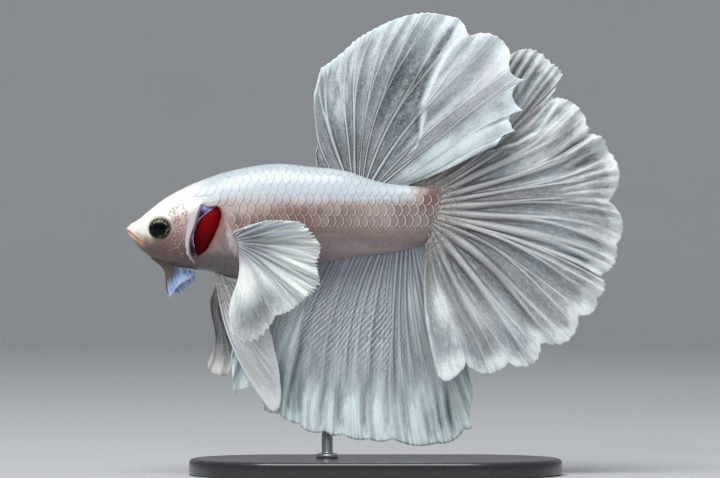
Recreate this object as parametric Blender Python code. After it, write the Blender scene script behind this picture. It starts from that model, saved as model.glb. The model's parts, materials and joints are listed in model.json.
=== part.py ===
"""A still, life-size show betta on a plain display stand.

The fish is measured in millimetres from the tip of its snout: x runs back along the body and z
runs up. Its body is 45 mm long, from there to the base of the tail fin. It faces -X and its left
side faces -Y. place() turns those measures into the row frame, in metres, whose origin is the
centre of the stand's underside.

Every fin is a pleated fan. Its rays start along a base line and end on a margin of lobes, and the
sheet between them is one grid, extruded sideways to its thickness.
"""

import math

import bmesh
import bpy
import numpy as np

MM = 0.001

# Driving dimensions, in millimetres.
SNOUT_X = -36.0
SNOUT_Z = 35.6
GAP = 0.3
FIN_THICKNESS = 0.7
BASE_LENGTH = 54.0
BASE_WIDTH = 28.0
BASE_HEIGHT = 2.4
ROD_RADIUS = 0.8
ROD_X = 29.0
ROD_Y = 1.9
ROD_DEPTH_IN_BODY = 2.3
ROD_DEPTH_IN_BASE = 1.2
THROAT_SPREAD = 1.0
PELVIC_SPREAD = 1.1

# The trunk as sections: distance from the snout, back, belly, widest level, half width.
SECTIONS = np.array([
    (0.0, 0.10, -0.10, 0.00, 0.45),
    (0.5, 0.66, -1.15, -0.10, 1.15),
    (1.5, 1.33, -2.50, -0.10, 1.80),
    (3.3, 2.82, -4.10, 0.05, 2.55),
    (5.5, 4.49, -5.06, 0.30, 3.15),
    (8.4, 6.00, -5.72, 0.50, 3.75),
    (12.0, 7.52, -6.20, 0.80, 4.25),
    (16.4, 8.75, -7.40, 1.00, 4.45),
    (21.4, 9.43, -6.90, 1.30, 4.40),
    (26.5, 9.07, -5.50, 1.80, 4.10),
    (31.6, 8.44, -4.20, 2.10, 3.60),
    (36.6, 6.85, -3.65, 1.80, 2.90),
    (41.0, 6.25, -2.95, 1.60, 2.10),
    (45.0, 6.00, -1.70, 2.10, 1.50),
    (48.0, 5.90, -0.90, 2.50, 1.20),
])
FLANK_FULLNESS = 0.86
BODY_RINGS = 28
BODY_SIDES = 24
RING_CROWDING = 1.35

# Where the body is parted: x at the height of the back and x at the height of the belly.
PARTING_HEIGHTS = (9.0, -8.0)
HEAD_ENDS = (15.3, 12.4)
STALK_STARTS = (39.0, 37.6)
BODY_ENDS = (45.7, 43.2)
FAR_AWAY = 20.0

# The mouth wedge, the eye and the gill, seen from the side.
JAW_OUTLINE = ((-2.0, -0.35), (0.3, -0.45), (2.8, -2.35), (3.5, -5.6), (-2.0, -5.6))
EYE_CENTRE = (4.85, 2.3, 0.05)
EYE_RADIUS = 1.66
EYE_HALF_DEPTH = 1.2
GILL_CENTRE = (11.6, -0.5)
GILL_HALF_LENGTH = 3.7
GILL_HALF_WIDTH = 1.65
GILL_TILT = math.radians(68.0)
GILL_FLOOR = 2.6
COVER_FRONT = 7.4
COVER_REAR = 9.9
COVER_TOP = 3.6
COVER_BOTTOM = -5.0
COVER_THICKNESS = 0.6
COVER_FLARE = 0.7


def smooth(keys, values, at):
    """The curve through (keys, values), read at those places, with no kinks at the keys."""
    keys = np.asarray(keys, float)
    values = np.asarray(values, float)
    slope = np.gradient(values, keys)
    i = np.clip(np.searchsorted(keys, at, side="right") - 1, 0, len(keys) - 2)
    step = keys[i + 1] - keys[i]
    t = np.clip((at - keys[i]) / step, 0.0, 1.0)
    rise = t * t * (3 - 2 * t)
    start = t * (1 - t) ** 2 * step * slope[i]
    end = t * t * (t - 1) * step * slope[i + 1]
    return values[i] + (values[i + 1] - values[i]) * rise + start + end


def evenly(values, at):
    """The smooth curve through values that are spaced evenly from 0 to 1."""
    return smooth(np.linspace(0, 1, len(values)), values, at)


def section(x):
    """(back, belly, widest level, half width) of the body at x."""
    return [smooth(SECTIONS[:, 0], SECTIONS[:, k], x) for k in range(1, 5)]


def flank(x, z):
    """Half the body's width at x and z."""
    back, belly, level, width = section(x)
    reach = np.where(z > level, back - level, level - belly)
    share = np.clip((z - level) / reach, -1.0, 1.0)
    return width * (1 - share**2) ** (FLANK_FULLNESS / 2)


def place(points):
    """Points of the fish, in its own millimetres, in the row frame and in metres."""
    return (np.asarray(points, float) + (SNOUT_X, 0.0, SNOUT_Z)) * MM


def make_material(name, colour, roughness, metallic=0.0):
    """A plain Principled finish."""
    made = bpy.data.materials.new(name)
    made.use_nodes = True
    shader = made.node_tree.nodes["Principled BSDF"]
    shader.inputs["Base Color"].default_value = (*colour, 1.0)
    shader.inputs["Roughness"].default_value = roughness
    shader.inputs["Metallic"].default_value = metallic
    made.diffuse_color = (*colour, 1.0)
    return made


def add_object(name, shape, material, collection):
    """An object made from a bmesh, which is freed."""
    mesh = bpy.data.meshes.new(name)
    shape.to_mesh(mesh)
    shape.free()
    mesh.shade_smooth()
    mesh.set_sharp_from_angle(angle=math.radians(40))
    made = bpy.data.objects.new(name, mesh)
    collection.objects.link(made)
    if material:
        mesh.materials.append(material)
    return made


def thicken(shape, depth, axis=1):
    """Extrudes a bmesh's open sheet along one axis by this many millimetres."""
    for item in bmesh.ops.extrude_face_region(shape, geom=list(shape.faces))["geom"]:
        if isinstance(item, bmesh.types.BMVert):
            item.co[axis] += depth * MM
    shape.normal_update()
    bmesh.ops.recalc_face_normals(shape, faces=shape.faces)
    if shape.calc_volume(signed=True) < 0:
        bmesh.ops.reverse_faces(shape, faces=shape.faces)


def move_to(shape, points):
    """Gives a bmesh's vertices these places, in the fish's millimetres."""
    for vertex, place_of_it in zip(shape.verts, place(points)):
        vertex.co = place_of_it
    shape.normal_update()


def body_shape():
    """The whole body: a sphere whose rings become the sections, with its poles at snout and tail."""
    shape = bmesh.new()
    bmesh.ops.create_uvsphere(shape, u_segments=BODY_SIDES, v_segments=BODY_RINGS, radius=1)
    ball = np.array([v.co for v in shape.verts])
    share = np.arccos(np.clip(ball[:, 2], -1, 1)) / math.pi
    x = SECTIONS[-1, 0] * share**RING_CROWDING
    back, belly, level, width = section(x)
    around = np.arctan2(ball[:, 1], ball[:, 0])
    at_pole = np.hypot(ball[:, 0], ball[:, 1]) < 1e-6
    up = np.where(at_pole, 0.0, np.sin(around))
    out = np.where(at_pole, 0.0, np.cos(around))
    z = level + np.where(up > 0, back - level, level - belly) * up
    y = width * np.sign(out) * np.abs(out) ** FLANK_FULLNESS
    move_to(shape, np.stack([x, y, z], axis=1))
    bmesh.ops.recalc_face_normals(shape, faces=shape.faces)
    return shape


def prism(outline, y_from, y_to):
    """An outline in x and z, as a solid from y_from to y_to."""
    shape = bmesh.new()
    shape.faces.new([shape.verts.new(p) for p in place([(x, y_from, z) for x, z in outline])])
    thicken(shape, y_to - y_from)
    return shape


def slice_outline(front, rear):
    """The outline of a slice of the body between two slanting partings, each (top x, bottom x)."""
    top, bottom = PARTING_HEIGHTS
    outline = []
    for (at_top, at_bottom), heights in ((front, (-1, 1)), (rear, (1, -1))):
        slant = (at_top - at_bottom) / (top - bottom)
        for side in heights:
            z = side * FAR_AWAY
            outline.append((at_bottom + slant * (z - bottom), z))
    return outline


def leaf_outline(grow):
    """The gill's leaf shape: two arcs that meet in points, turned to its tilt."""
    length = GILL_HALF_LENGTH + grow
    width = GILL_HALF_WIDTH + grow
    outline = []
    for turn in np.linspace(0, 2 * math.pi, 20, endpoint=False):
        along = length * math.cos(turn)
        across = width * math.sin(turn) * abs(math.sin(turn)) ** 0.3
        x = along * math.cos(GILL_TILT) - across * math.sin(GILL_TILT)
        z = along * math.sin(GILL_TILT) + across * math.cos(GILL_TILT)
        outline.append((GILL_CENTRE[0] + x, GILL_CENTRE[1] + z))
    return outline


def grown_jaw():
    """The jaw's outline, moved out by the gap on the two sides that face the head."""
    front_top, mouth, corner, throat, front_bottom = JAW_OUTLINE
    return (
        (front_top[0], front_top[1] + GAP),
        (mouth[0] + GAP / 3, mouth[1] + GAP),
        (corner[0] + GAP, corner[1] + GAP),
        (throat[0] + GAP, throat[1] - 1),
        (front_bottom[0], front_bottom[1] - 1),
    )


def spheroid(centre, radius, half_depth, segments, rings):
    """A sphere flattened across the body."""
    shape = bmesh.new()
    bmesh.ops.create_uvsphere(shape, u_segments=segments, v_segments=rings, radius=1)
    ball = np.array([v.co for v in shape.verts])
    size = np.array([radius, radius, half_depth])
    turned = (ball * size)[:, [0, 2, 1]]
    move_to(shape, turned + centre)
    bmesh.ops.recalc_face_normals(shape, faces=shape.faces)
    return shape


def rod_shape(radius, bottom, top, segments=16):
    """An upright round bar at the rod's place, from bottom to top above the floor."""
    shape = bmesh.new()
    bmesh.ops.create_cone(
        shape, cap_ends=True, segments=segments,
        radius1=radius * MM, radius2=radius * MM, depth=(top - bottom) * MM,
    )
    middle = ((ROD_X + SNOUT_X) * MM, ROD_Y * MM, (top + bottom) / 2 * MM)
    bmesh.ops.translate(shape, vec=middle, verts=shape.verts)
    return shape


def boolean(target, operation, cutter):
    """Adds an exact Boolean to an object."""
    added = target.modifiers.new(operation.lower() + "_" + cutter.name, "BOOLEAN")
    added.operation = operation
    added.object = cutter
    added.solver = "EXACT"


# A fin: its base line, its margin's corners (x, z, swell of the lobe that follows), the share of
# the base where rays root, how far they bow, how far the margin and the base lean to +Y, its
# pleats, and its grid's faces across the rays and along them.
TAIL_FIN = {
    "base": ((45.6, 5.9), (45.05, 2.1), (44.5, -1.7)),
    "margin": (
        (50.5, 23.6, 3.0), (55.0, 24.6, 1.8), (61.3, 24.2, 0.3), (63.2, 22.4, -0.2),
        (61.7, 18.9, 1.3), (66.5, 15.3, 0.3), (66.6, 13.6, 1.0), (69.6, 11.4, 1.7),
        (69.6, 4.0, 1.6), (70.8, -2.4, 1.1), (68.4, -6.7, 1.0), (68.0, -10.0, 1.2),
        (65.3, -12.4, 2.2), (59.9, -16.3, 2.1), (55.1, -19.3, 1.7), (49.1, -19.3, 0.4),
        (46.3, -22.0, 0.2), (45.1, -21.2, 0.0),
    ),
    "roots": (0.0, 0.2, 0.4, 0.6, 0.8, 1.0),
    "bow": (0.0, -1.3, -0.2, 1.3, 0.5, -1.5),
    "lean": (3.2, 3.0, 0.2, -0.6, -1.0, -2.2, -3.4),
    "base_lean": (0.7, -0.9),
    "pleats": 12.0,
    "pleat_depth": 0.75,
    "grid": (62, 5),
}
DORSAL_FIN = {
    "base": ((27.5, 0.0), (32.0, 0.0), (36.5, 0.0), (41.2, 0.0)),
    "margin": (
        (27.4, 14.0, 0.1), (27.1, 19.6, 0.0), (28.1, 23.3, -0.2), (32.7, 27.0, 0.2),
        (38.4, 30.1, 0.2), (43.3, 31.2, 0.2), (48.2, 30.3, 0.1), (49.5, 27.7, 0.3),
        (52.4, 28.1, 0.5), (55.0, 26.2, 0.3), (55.5, 24.3, -0.8), (57.8, 21.6, -1.2),
        (57.2, 17.1, -1.0), (56.2, 14.1, -0.3), (53.6, 12.2, 0.0),
    ),
    "roots": (0.0, 0.32, 0.46, 0.58, 0.73, 1.0),
    "bow": (-0.3, 0.9, 1.2, 0.9, 0.4, 0.1),
    "lean": (0.8, 0.2, -0.8, -1.8, -2.6, -3.2, -3.4),
    "base_lean": (0.0, -0.3),
    "pleats": 9.0,
    "pleat_depth": 0.6,
    "grid": (44, 5),
}
ANAL_FIN = {
    "base": ((19.2, 0.0), (27.0, 0.0), (35.0, 0.0), (42.6, 0.0)),
    "margin": (
        (15.1, -18.6, 0.0), (15.5, -23.9, -0.4), (18.4, -23.1, -0.3), (19.8, -26.1, 0.2),
        (22.1, -26.7, 0.3), (25.0, -28.2, 0.7), (28.7, -29.2, 0.5), (31.2, -29.6, 0.5),
        (35.0, -30.3, 0.5), (38.5, -30.3, 0.7), (44.9, -31.0, 0.8), (48.8, -29.0, 0.1),
        (50.0, -28.8, -0.4), (50.0, -24.8, 0.3), (49.4, -20.5, 0.0),
    ),
    "roots": (0.0, 0.25, 0.6, 0.82, 0.94, 1.0),
    "bow": (-0.3, -1.0, -1.5, -1.0, -0.3, 0.3),
    "lean": (-0.2, -0.3, -0.4, -0.3, 0.4, 1.4, 2.0),
    "base_lean": (0.0, 0.7),
    "pleats": 13.0,
    "pleat_depth": 0.5,
    "grid": (50, 4),
}
PECTORAL_FIN = {
    "base": ((15.2, -0.7), (15.7, -2.4), (16.5, -4.2)),
    "margin": (
        (16.7, 0.5, 0.3), (20.5, 1.2, 0.2), (25.4, 0.8, 0.5), (28.0, -2.4, 0.4), (27.6, -4.9, 0.3),
        (27.9, -8.3, 0.6), (24.7, -11.1, 0.3), (21.6, -12.4, 0.2), (20.4, -14.4, 0.5),
        (17.3, -16.3, 0.3), (15.4, -14.9, 0.0),
    ),
    "roots": (0.0, 0.25, 0.45, 0.6, 0.8, 1.0),
    "bow": (0.2, 0.2, 0.1, 0.3, 0.3, -0.9),
    "lean": (3.0, 4.6, 5.4, 5.2, 4.2, 2.8, 1.4),
    "base_lean": (0.0, 0.0),
    "pleats": 9.0,
    "pleat_depth": 0.25,
    "grid": (28, 4),
}
PELVIC_FIN_LEFT = {
    "base": ((14.0, -7.9), (16.2, -8.1)),
    "margin": (
        (20.9, -26.3, 0.3), (22.2, -25.6, 0.2), (22.2, -22.0, 0.2),
        (21.4, -17.5, 0.2), (20.2, -13.5, 0.2), (18.2, -9.6, 0.0),
    ),
    "roots": (0.0, 0.3, 0.5, 0.65, 0.8, 1.0),
    "bow": (-1.5, -1.0, -0.5, 0.0, 0.0, 0.0),
    "lean": (1.9, 1.9, 1.8, 1.7, 1.5, 1.2, 0.9),
    "base_lean": (0.0, 0.0),
    "pleats": 3.0,
    "pleat_depth": 0.15,
    "grid": (10, 5),
}
PELVIC_FIN_RIGHT = {
    "base": ((13.0, -7.9), (15.0, -8.0)),
    "margin": (
        (11.9, -19.0, 0.8), (13.0, -21.1, 0.3), (14.7, -21.0, 0.3),
        (15.0, -17.6, 0.2), (15.3, -14.0, 0.2), (15.4, -11.0, 0.0),
    ),
    "roots": (0.0, 0.3, 0.5, 0.65, 0.8, 1.0),
    "bow": (0.1, 0.1, 0.0, 0.0, 0.0, 0.0),
    "lean": (1.9, 1.9, 1.8, 1.6, 1.3, 1.0, 0.7),
    "base_lean": (0.0, 0.0),
    "pleats": 3.0,
    "pleat_depth": 0.15,
    "grid": (10, 5),
}
THROAT_MEMBRANE = {
    "base": ((4.9, -5.25), (7.2, -5.75), (9.6, -6.15)),
    "margin": (
        (6.2, -9.9, 0.1), (7.0, -9.1, -0.1), (8.8, -7.5, 0.1), (9.9, -6.8, 0.0),
    ),
    "roots": (0.0, 0.3, 0.5, 0.7, 0.85, 1.0),
    "bow": (-0.2, -0.1, 0.0, 0.0, 0.0, 0.0),
    "lean": (0.6, 0.7, 0.7, 0.6, 0.5, 0.4, 0.3),
    "base_lean": (0.0, 0.0),
    "pleats": 2.0,
    "pleat_depth": 0.1,
    "grid": (8, 2),
}


def margin_points(fin, u):
    """The fin's edge at u, from its first mark at 0 to its last at 1."""
    marks = np.array(fin["margin"])
    corners = marks[:, :2]
    chords = np.diff(corners, axis=0)
    lengths = np.hypot(*chords.T)
    knots = np.concatenate([[0], np.cumsum(lengths)]) / lengths.sum()
    i = np.clip(np.searchsorted(knots, u, side="right") - 1, 0, len(chords) - 1)
    s = np.clip((u - knots[i]) / (knots[i + 1] - knots[i]), 0, 1)
    normals = np.stack([-chords[:, 1], chords[:, 0]], axis=1) / lengths[:, None]
    centre = np.mean(fin["base"], axis=0)
    outward = np.sign(((corners[:-1] + chords / 2 - centre) * normals).sum(axis=1))
    bulge = np.sin(math.pi * s) ** 0.7 * marks[i, 2] * outward[i]
    return corners[i] + chords[i] * s[:, None] + normals[i] * bulge[:, None]


def fin_points(fin, base_line, u, v):
    """Points (x, y, z) of the fin's sheet. u crosses its rays and v runs out along them."""
    edge = margin_points(fin, u)
    root = base_line(evenly(fin["roots"], u))
    ray = edge - root[:, [0, 2]]
    side = np.stack([-ray[:, 1], ray[:, 0]], axis=1) / np.hypot(*ray.T)[:, None]
    swing = 4 * v * (1 - v) * evenly(fin["bow"], u)
    flat = root[:, [0, 2]] + ray * v[:, None] + side * swing[:, None]
    lean = np.interp(u, (0, 1), fin["base_lean"]) * (1 - v) + evenly(fin["lean"], u) * v**1.2
    pleat = fin["pleat_depth"] * v**0.8 * np.cos(2 * math.pi * fin["pleats"] * u)
    return np.stack([flat[:, 0], root[:, 1] + lean + pleat, flat[:, 1]], axis=1)


def fin_object(name, fin, base_line, material, collection, mirrored=False):
    """A fin as one closed sheet: a grid bent to the fin's shape, extruded across the body."""
    columns, rows = fin["grid"]
    shape = bmesh.new()
    bmesh.ops.create_grid(shape, x_segments=columns, y_segments=rows, size=0.5)
    grid = np.array([v.co for v in shape.verts]) + 0.5
    points = fin_points(fin, base_line, grid[:, 0], grid[:, 1])
    points[:, 1] -= FIN_THICKNESS / 2
    if mirrored:
        points[:, 1] = -points[:, 1] - FIN_THICKNESS
    move_to(shape, points)
    thicken(shape, FIN_THICKNESS)
    return add_object(name, shape, material, collection)


def line_along(points, y=0.0):
    """A base line through (x, z) points at one y."""
    points = np.array(points)

    def read(share):
        x = evenly(points[:, 0], share)
        z = evenly(points[:, 1], share)
        return np.stack([x, np.full_like(x, y), z], axis=1)

    return read


def line_on_body(points, edge, gap):
    """A base line along the back (edge 0) or the belly (edge 1), a gap away from the body."""
    points = np.array(points)

    def read(share):
        x = evenly(points[:, 0], share)
        z = section(x)[edge] + gap
        return np.stack([x, np.zeros_like(x), z], axis=1)

    return read


def line_on_flank(points, gap):
    """A base line through (x, z) points on the body's right side, a gap away from it."""
    points = np.array(points)

    def read(share):
        x = evenly(points[:, 0], share)
        z = evenly(points[:, 1], share)
        return np.stack([x, flank(x, z) + gap, z], axis=1)

    return read


def cover_object(name, side, material, collection):
    """A gill cover: a curved plate over the cheek, lifted a little at its free rear edge."""
    shape = bmesh.new()
    bmesh.ops.create_grid(shape, x_segments=4, y_segments=9, size=0.5)
    grid = np.array([v.co for v in shape.verts]) + 0.5
    height = np.sin(math.pi * np.clip(grid[:, 1], 0, 1))
    z = COVER_BOTTOM + (COVER_TOP - COVER_BOTTOM) * grid[:, 1]
    front = COVER_FRONT + 0.6 * (1 - height)
    rear = COVER_REAR + 0.9 * grid[:, 1] - 0.8 * height
    x = front + (rear - front) * grid[:, 0]
    y = flank(x, z) + GAP + COVER_FLARE * grid[:, 0] ** 2 * height
    move_to(shape, np.stack([x, side * y, z], axis=1))
    thicken(shape, side * COVER_THICKNESS)
    return add_object(name, shape, material, collection)


def base_shape():
    """The stand's base: a flat slab with half-round ends."""
    shape = bmesh.new()
    radius = BASE_WIDTH / 2
    straight = BASE_LENGTH / 2 - radius
    corners = []
    for end in (1, -1):
        for turn in np.linspace(-math.pi / 2, math.pi / 2, 13):
            x = straight + radius * math.cos(turn)
            corners.append((end * x * MM, end * radius * math.sin(turn) * MM, 0.0))
    shape.faces.new([shape.verts.new(corner) for corner in corners])
    thicken(shape, BASE_HEIGHT, axis=2)
    return shape


def cutter(name, shape, helpers):
    """A hidden shape that a Boolean uses."""
    made = add_object(name, shape, None, helpers)
    made.hide_render = True
    made.display_type = "WIRE"
    return made


def build_body(skin, fish, helpers):
    """Head, lower jaw, trunk and tail stalk: one body parted by thin cuts."""
    partings = {
        "head": ((-8.0, -8.0), HEAD_ENDS),
        "trunk": (tuple(x + GAP for x in HEAD_ENDS), STALK_STARTS),
        "tail_stalk": (tuple(x + GAP for x in STALK_STARTS), BODY_ENDS),
    }
    pieces = {}
    for name, (front, rear) in partings.items():
        pieces[name] = add_object(name, body_shape(), skin, fish)
        keep = prism(slice_outline(front, rear), -FAR_AWAY, FAR_AWAY)
        boolean(pieces[name], "INTERSECT", cutter(name + "_slice", keep, helpers))
    jaw = add_object("lower_jaw", body_shape(), skin, fish)
    keep = prism(JAW_OUTLINE, -FAR_AWAY, FAR_AWAY)
    boolean(jaw, "INTERSECT", cutter("jaw_slice", keep, helpers))
    cut = prism(grown_jaw(), -FAR_AWAY, FAR_AWAY)
    boolean(pieces["head"], "DIFFERENCE", cutter("mouth_cut", cut, helpers))
    return pieces


def build_eye(side, sign, head, material, fish, helpers):
    """An eye, and the socket that it sits in with a gap all round."""
    centre = (EYE_CENTRE[0], sign * EYE_CENTRE[1], EYE_CENTRE[2])
    eye = spheroid(centre, EYE_RADIUS, EYE_HALF_DEPTH, 16, 10)
    add_object("eye_" + side, eye, material, fish)
    socket = spheroid(centre, EYE_RADIUS + GAP, EYE_HALF_DEPTH + GAP, 16, 10)
    boolean(head, "DIFFERENCE", cutter("socket_" + side, socket, helpers))


def build_gill(side, sign, head, material, fish, helpers):
    """A gill, leaf shaped and flush with the cheek, in its pocket."""
    outer, inner = sign * FAR_AWAY, sign * GILL_FLOOR
    pocket = prism(leaf_outline(GAP), inner - sign * GAP, outer)
    boolean(head, "DIFFERENCE", cutter("pocket_" + side, pocket, helpers))
    gill = add_object("gill_" + side, body_shape(), material, fish)
    leaf = prism(leaf_outline(0.0), inner, outer)
    boolean(gill, "INTERSECT", cutter("leaf_" + side, leaf, helpers))


def build_fins(fin_white, blue_membrane, fish):
    """The single fins, the paired fins and the membranes under the throat."""
    fin_object("tail_fin", TAIL_FIN, line_along(TAIL_FIN["base"]), fin_white, fish)
    back = line_on_body(DORSAL_FIN["base"], 0, GAP)
    fin_object("dorsal_fin", DORSAL_FIN, back, fin_white, fish)
    belly = line_on_body(ANAL_FIN["base"], 1, -GAP)
    fin_object("anal_fin", ANAL_FIN, belly, fin_white, fish)
    for side, left in (("left", True), ("right", False)):
        shoulder = line_on_flank(PECTORAL_FIN["base"], GAP + FIN_THICKNESS)
        fin_object("pectoral_fin_" + side, PECTORAL_FIN, shoulder, fin_white, fish, left)
        pelvic = PELVIC_FIN_LEFT if left else PELVIC_FIN_RIGHT
        breast = line_along(pelvic["base"], PELVIC_SPREAD)
        fin_object("pelvic_fin_" + side, pelvic, breast, fin_white, fish, left)
        throat = line_along(THROAT_MEMBRANE["base"], THROAT_SPREAD)
        fin_object("throat_membrane_" + side, THROAT_MEMBRANE, throat, blue_membrane, fish, left)


def build_stand(trunk, base_material, rod_material, fish, helpers):
    """A base with a blind hole, and a rod up into the belly beside the anal fin."""
    belly_at_rod = SNOUT_Z + section(ROD_X)[1]
    top = belly_at_rod + ROD_DEPTH_IN_BODY
    bottom = BASE_HEIGHT - ROD_DEPTH_IN_BASE
    add_object("stand_rod", rod_shape(ROD_RADIUS, bottom, top), rod_material, fish)
    base = add_object("stand_base", base_shape(), base_material, fish)
    hole = rod_shape(ROD_RADIUS + GAP, bottom - GAP, top + GAP)
    hole_cutter = cutter("rod_hole", hole, helpers)
    boolean(base, "DIFFERENCE", hole_cutter)
    boolean(trunk, "DIFFERENCE", hole_cutter)


def main():
    for old in list(bpy.data.objects):
        bpy.data.objects.remove(old, do_unlink=True)
    fish = bpy.data.collections.new("betta_fish")
    helpers = bpy.data.collections.new("cutters")
    bpy.context.scene.collection.children.link(fish)
    bpy.context.scene.collection.children.link(helpers)

    skin = make_material("skin", (0.80, 0.72, 0.69), 0.35)
    fin_white = make_material("fin_membrane", (0.74, 0.77, 0.79), 0.4)
    eye_black = make_material("eye", (0.02, 0.022, 0.02), 0.08)
    gill_red = make_material("gill", (0.28, 0.004, 0.008), 0.45)
    blue_membrane = make_material("throat_membrane", (0.48, 0.62, 0.85), 0.35)
    satin_black = make_material("stand_base", (0.03, 0.03, 0.033), 0.35)
    steel = make_material("stand_rod", (0.62, 0.62, 0.63), 0.3, metallic=1.0)

    pieces = build_body(skin, fish, helpers)
    for side, sign in (("left", -1), ("right", 1)):
        build_eye(side, sign, pieces["head"], eye_black, fish, helpers)
        build_gill(side, sign, pieces["head"], gill_red, fish, helpers)
        cover_object("gill_cover_" + side, sign, skin, fish)
    build_fins(fin_white, blue_membrane, fish)
    build_stand(pieces["trunk"], satin_black, steel, fish, helpers)


main()
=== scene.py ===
# %% [markdown]
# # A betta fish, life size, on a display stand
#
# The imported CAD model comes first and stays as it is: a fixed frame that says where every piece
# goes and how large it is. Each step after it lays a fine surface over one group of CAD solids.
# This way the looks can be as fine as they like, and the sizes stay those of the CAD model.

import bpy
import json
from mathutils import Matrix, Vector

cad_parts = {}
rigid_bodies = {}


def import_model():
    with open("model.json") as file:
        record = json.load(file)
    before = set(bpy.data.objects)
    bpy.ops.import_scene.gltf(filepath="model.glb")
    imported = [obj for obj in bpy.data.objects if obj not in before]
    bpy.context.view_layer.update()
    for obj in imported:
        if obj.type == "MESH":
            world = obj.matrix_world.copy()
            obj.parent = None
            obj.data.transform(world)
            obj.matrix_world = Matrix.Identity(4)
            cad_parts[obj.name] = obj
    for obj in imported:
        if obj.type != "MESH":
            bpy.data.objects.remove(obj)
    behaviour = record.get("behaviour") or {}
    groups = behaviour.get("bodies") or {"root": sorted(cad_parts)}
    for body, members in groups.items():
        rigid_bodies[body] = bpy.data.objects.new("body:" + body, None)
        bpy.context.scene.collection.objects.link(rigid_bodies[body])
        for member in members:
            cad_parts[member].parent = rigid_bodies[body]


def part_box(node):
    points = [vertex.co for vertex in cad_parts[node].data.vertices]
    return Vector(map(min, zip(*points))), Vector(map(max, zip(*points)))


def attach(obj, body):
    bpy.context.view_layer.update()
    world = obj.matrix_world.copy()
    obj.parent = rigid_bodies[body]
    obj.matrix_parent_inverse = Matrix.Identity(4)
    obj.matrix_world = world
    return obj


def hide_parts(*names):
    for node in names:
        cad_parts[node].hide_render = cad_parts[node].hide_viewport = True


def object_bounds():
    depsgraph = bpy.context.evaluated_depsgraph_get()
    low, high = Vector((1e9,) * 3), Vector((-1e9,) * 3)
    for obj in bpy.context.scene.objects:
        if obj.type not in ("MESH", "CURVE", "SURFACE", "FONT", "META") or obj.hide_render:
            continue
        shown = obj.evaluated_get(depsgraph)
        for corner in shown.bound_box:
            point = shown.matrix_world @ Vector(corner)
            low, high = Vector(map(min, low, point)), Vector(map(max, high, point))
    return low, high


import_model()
cad_low, cad_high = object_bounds()
print("CAD box in mm:", [round(1000 * (b - a), 1) for a, b in zip(cad_low, cad_high)])

# %% [markdown]
# ## Measures of the fish
#
# A fish is easiest to describe in its own measures: millimetres back from the tip of the snout
# and up from it. One small function turns those into the frame's metres. The body is a row of
# cross-sections, and a smooth curve through each of their numbers gives the body anywhere. A
# straight blend between sections would leave a crease at every one, so the curve has matched
# slopes.

# %% Measures and smooth curves
import json
import math

import bpy
import numpy as np

MM = 0.001
SNOUT = np.array([1000 * cad_low.x, 0.0, 35.6])

# distance from the snout, back, belly, widest level, half width
SECTIONS = np.array([
    (0.0, 0.10, -0.10, 0.00, 0.45), (0.5, 0.66, -1.15, -0.10, 1.15),
    (1.5, 1.33, -2.50, -0.10, 1.80), (3.3, 2.82, -4.10, 0.05, 2.55),
    (5.5, 4.49, -5.06, 0.30, 3.15), (8.4, 6.00, -5.72, 0.50, 3.75),
    (12.0, 7.52, -6.20, 0.80, 4.25), (16.4, 8.75, -7.40, 1.00, 4.45),
    (21.4, 9.43, -6.90, 1.30, 4.40), (26.5, 9.07, -5.50, 1.80, 4.10),
    (31.6, 8.44, -4.20, 2.10, 3.60), (36.6, 6.85, -3.65, 1.80, 2.90),
    (41.0, 6.25, -2.95, 1.60, 2.10), (45.0, 6.00, -1.70, 2.10, 1.50),
    (48.0, 5.90, -0.90, 2.50, 1.20),
])
FLANK_FULLNESS = 0.86


def smooth(keys, values, at):
    """The curve through (keys, values), read at those places, with no kinks at the keys."""
    keys = np.asarray(keys, float)
    values = np.asarray(values, float)
    slope = np.gradient(values, keys)
    i = np.clip(np.searchsorted(keys, at, side="right") - 1, 0, len(keys) - 2)
    step = keys[i + 1] - keys[i]
    t = np.clip((at - keys[i]) / step, 0.0, 1.0)
    rise = t * t * (3 - 2 * t)
    start = t * (1 - t) ** 2 * step * slope[i]
    end = t * t * (t - 1) * step * slope[i + 1]
    return values[i] + (values[i + 1] - values[i]) * rise + start + end


def evenly(values, at):
    """The smooth curve through values that are spaced evenly from 0 to 1."""
    return smooth(np.linspace(0, 1, len(values)), values, at)


def ease(low, high, value):
    """0 below low, 1 above high, and a soft step between them."""
    share = np.clip((value - low) / (high - low), 0.0, 1.0)
    return share * share * (3 - 2 * share)


def hump(value, centre, width):
    """A soft bump, 1 at the centre."""
    return np.exp(-(((value - centre) / width) ** 2))


def section(x):
    """(back, belly, widest level, half width) of the body at x."""
    return [smooth(SECTIONS[:, 0], SECTIONS[:, k], x) for k in range(1, 5)]


def flank(x, z):
    """Half the body's width at x and z."""
    back, belly, level, width = section(x)
    reach = np.where(z > level, back - level, level - belly)
    share = np.clip((z - level) / reach, -1.0, 1.0)
    return width * (1 - share**2) ** (FLANK_FULLNESS / 2)


def place(points):
    """Points of the fish, in its own millimetres, in the frame and in metres."""
    return (np.asarray(points, float) + SNOUT) * MM


def each_point(*values):
    """Three arrays, stretched to one shape, as a list with one row of three for each point."""
    return np.stack(np.broadcast_arrays(*values), axis=-1).reshape(-1, 3)


print("snout at", SNOUT.round(2), "mm; greatest depth", round(float(np.ptp(section(21.4)[:2])), 1))

# %% [markdown]
# ## Making a mesh from a grid
#
# Every soft form here is a grid of points bent to shape. Blender can make a mesh from Python lists
# one face at a time, but hundreds of thousands of faces go in much faster as whole arrays. A
# closed sheet is two grids, front and back, with a strip of faces round the rim.

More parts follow.
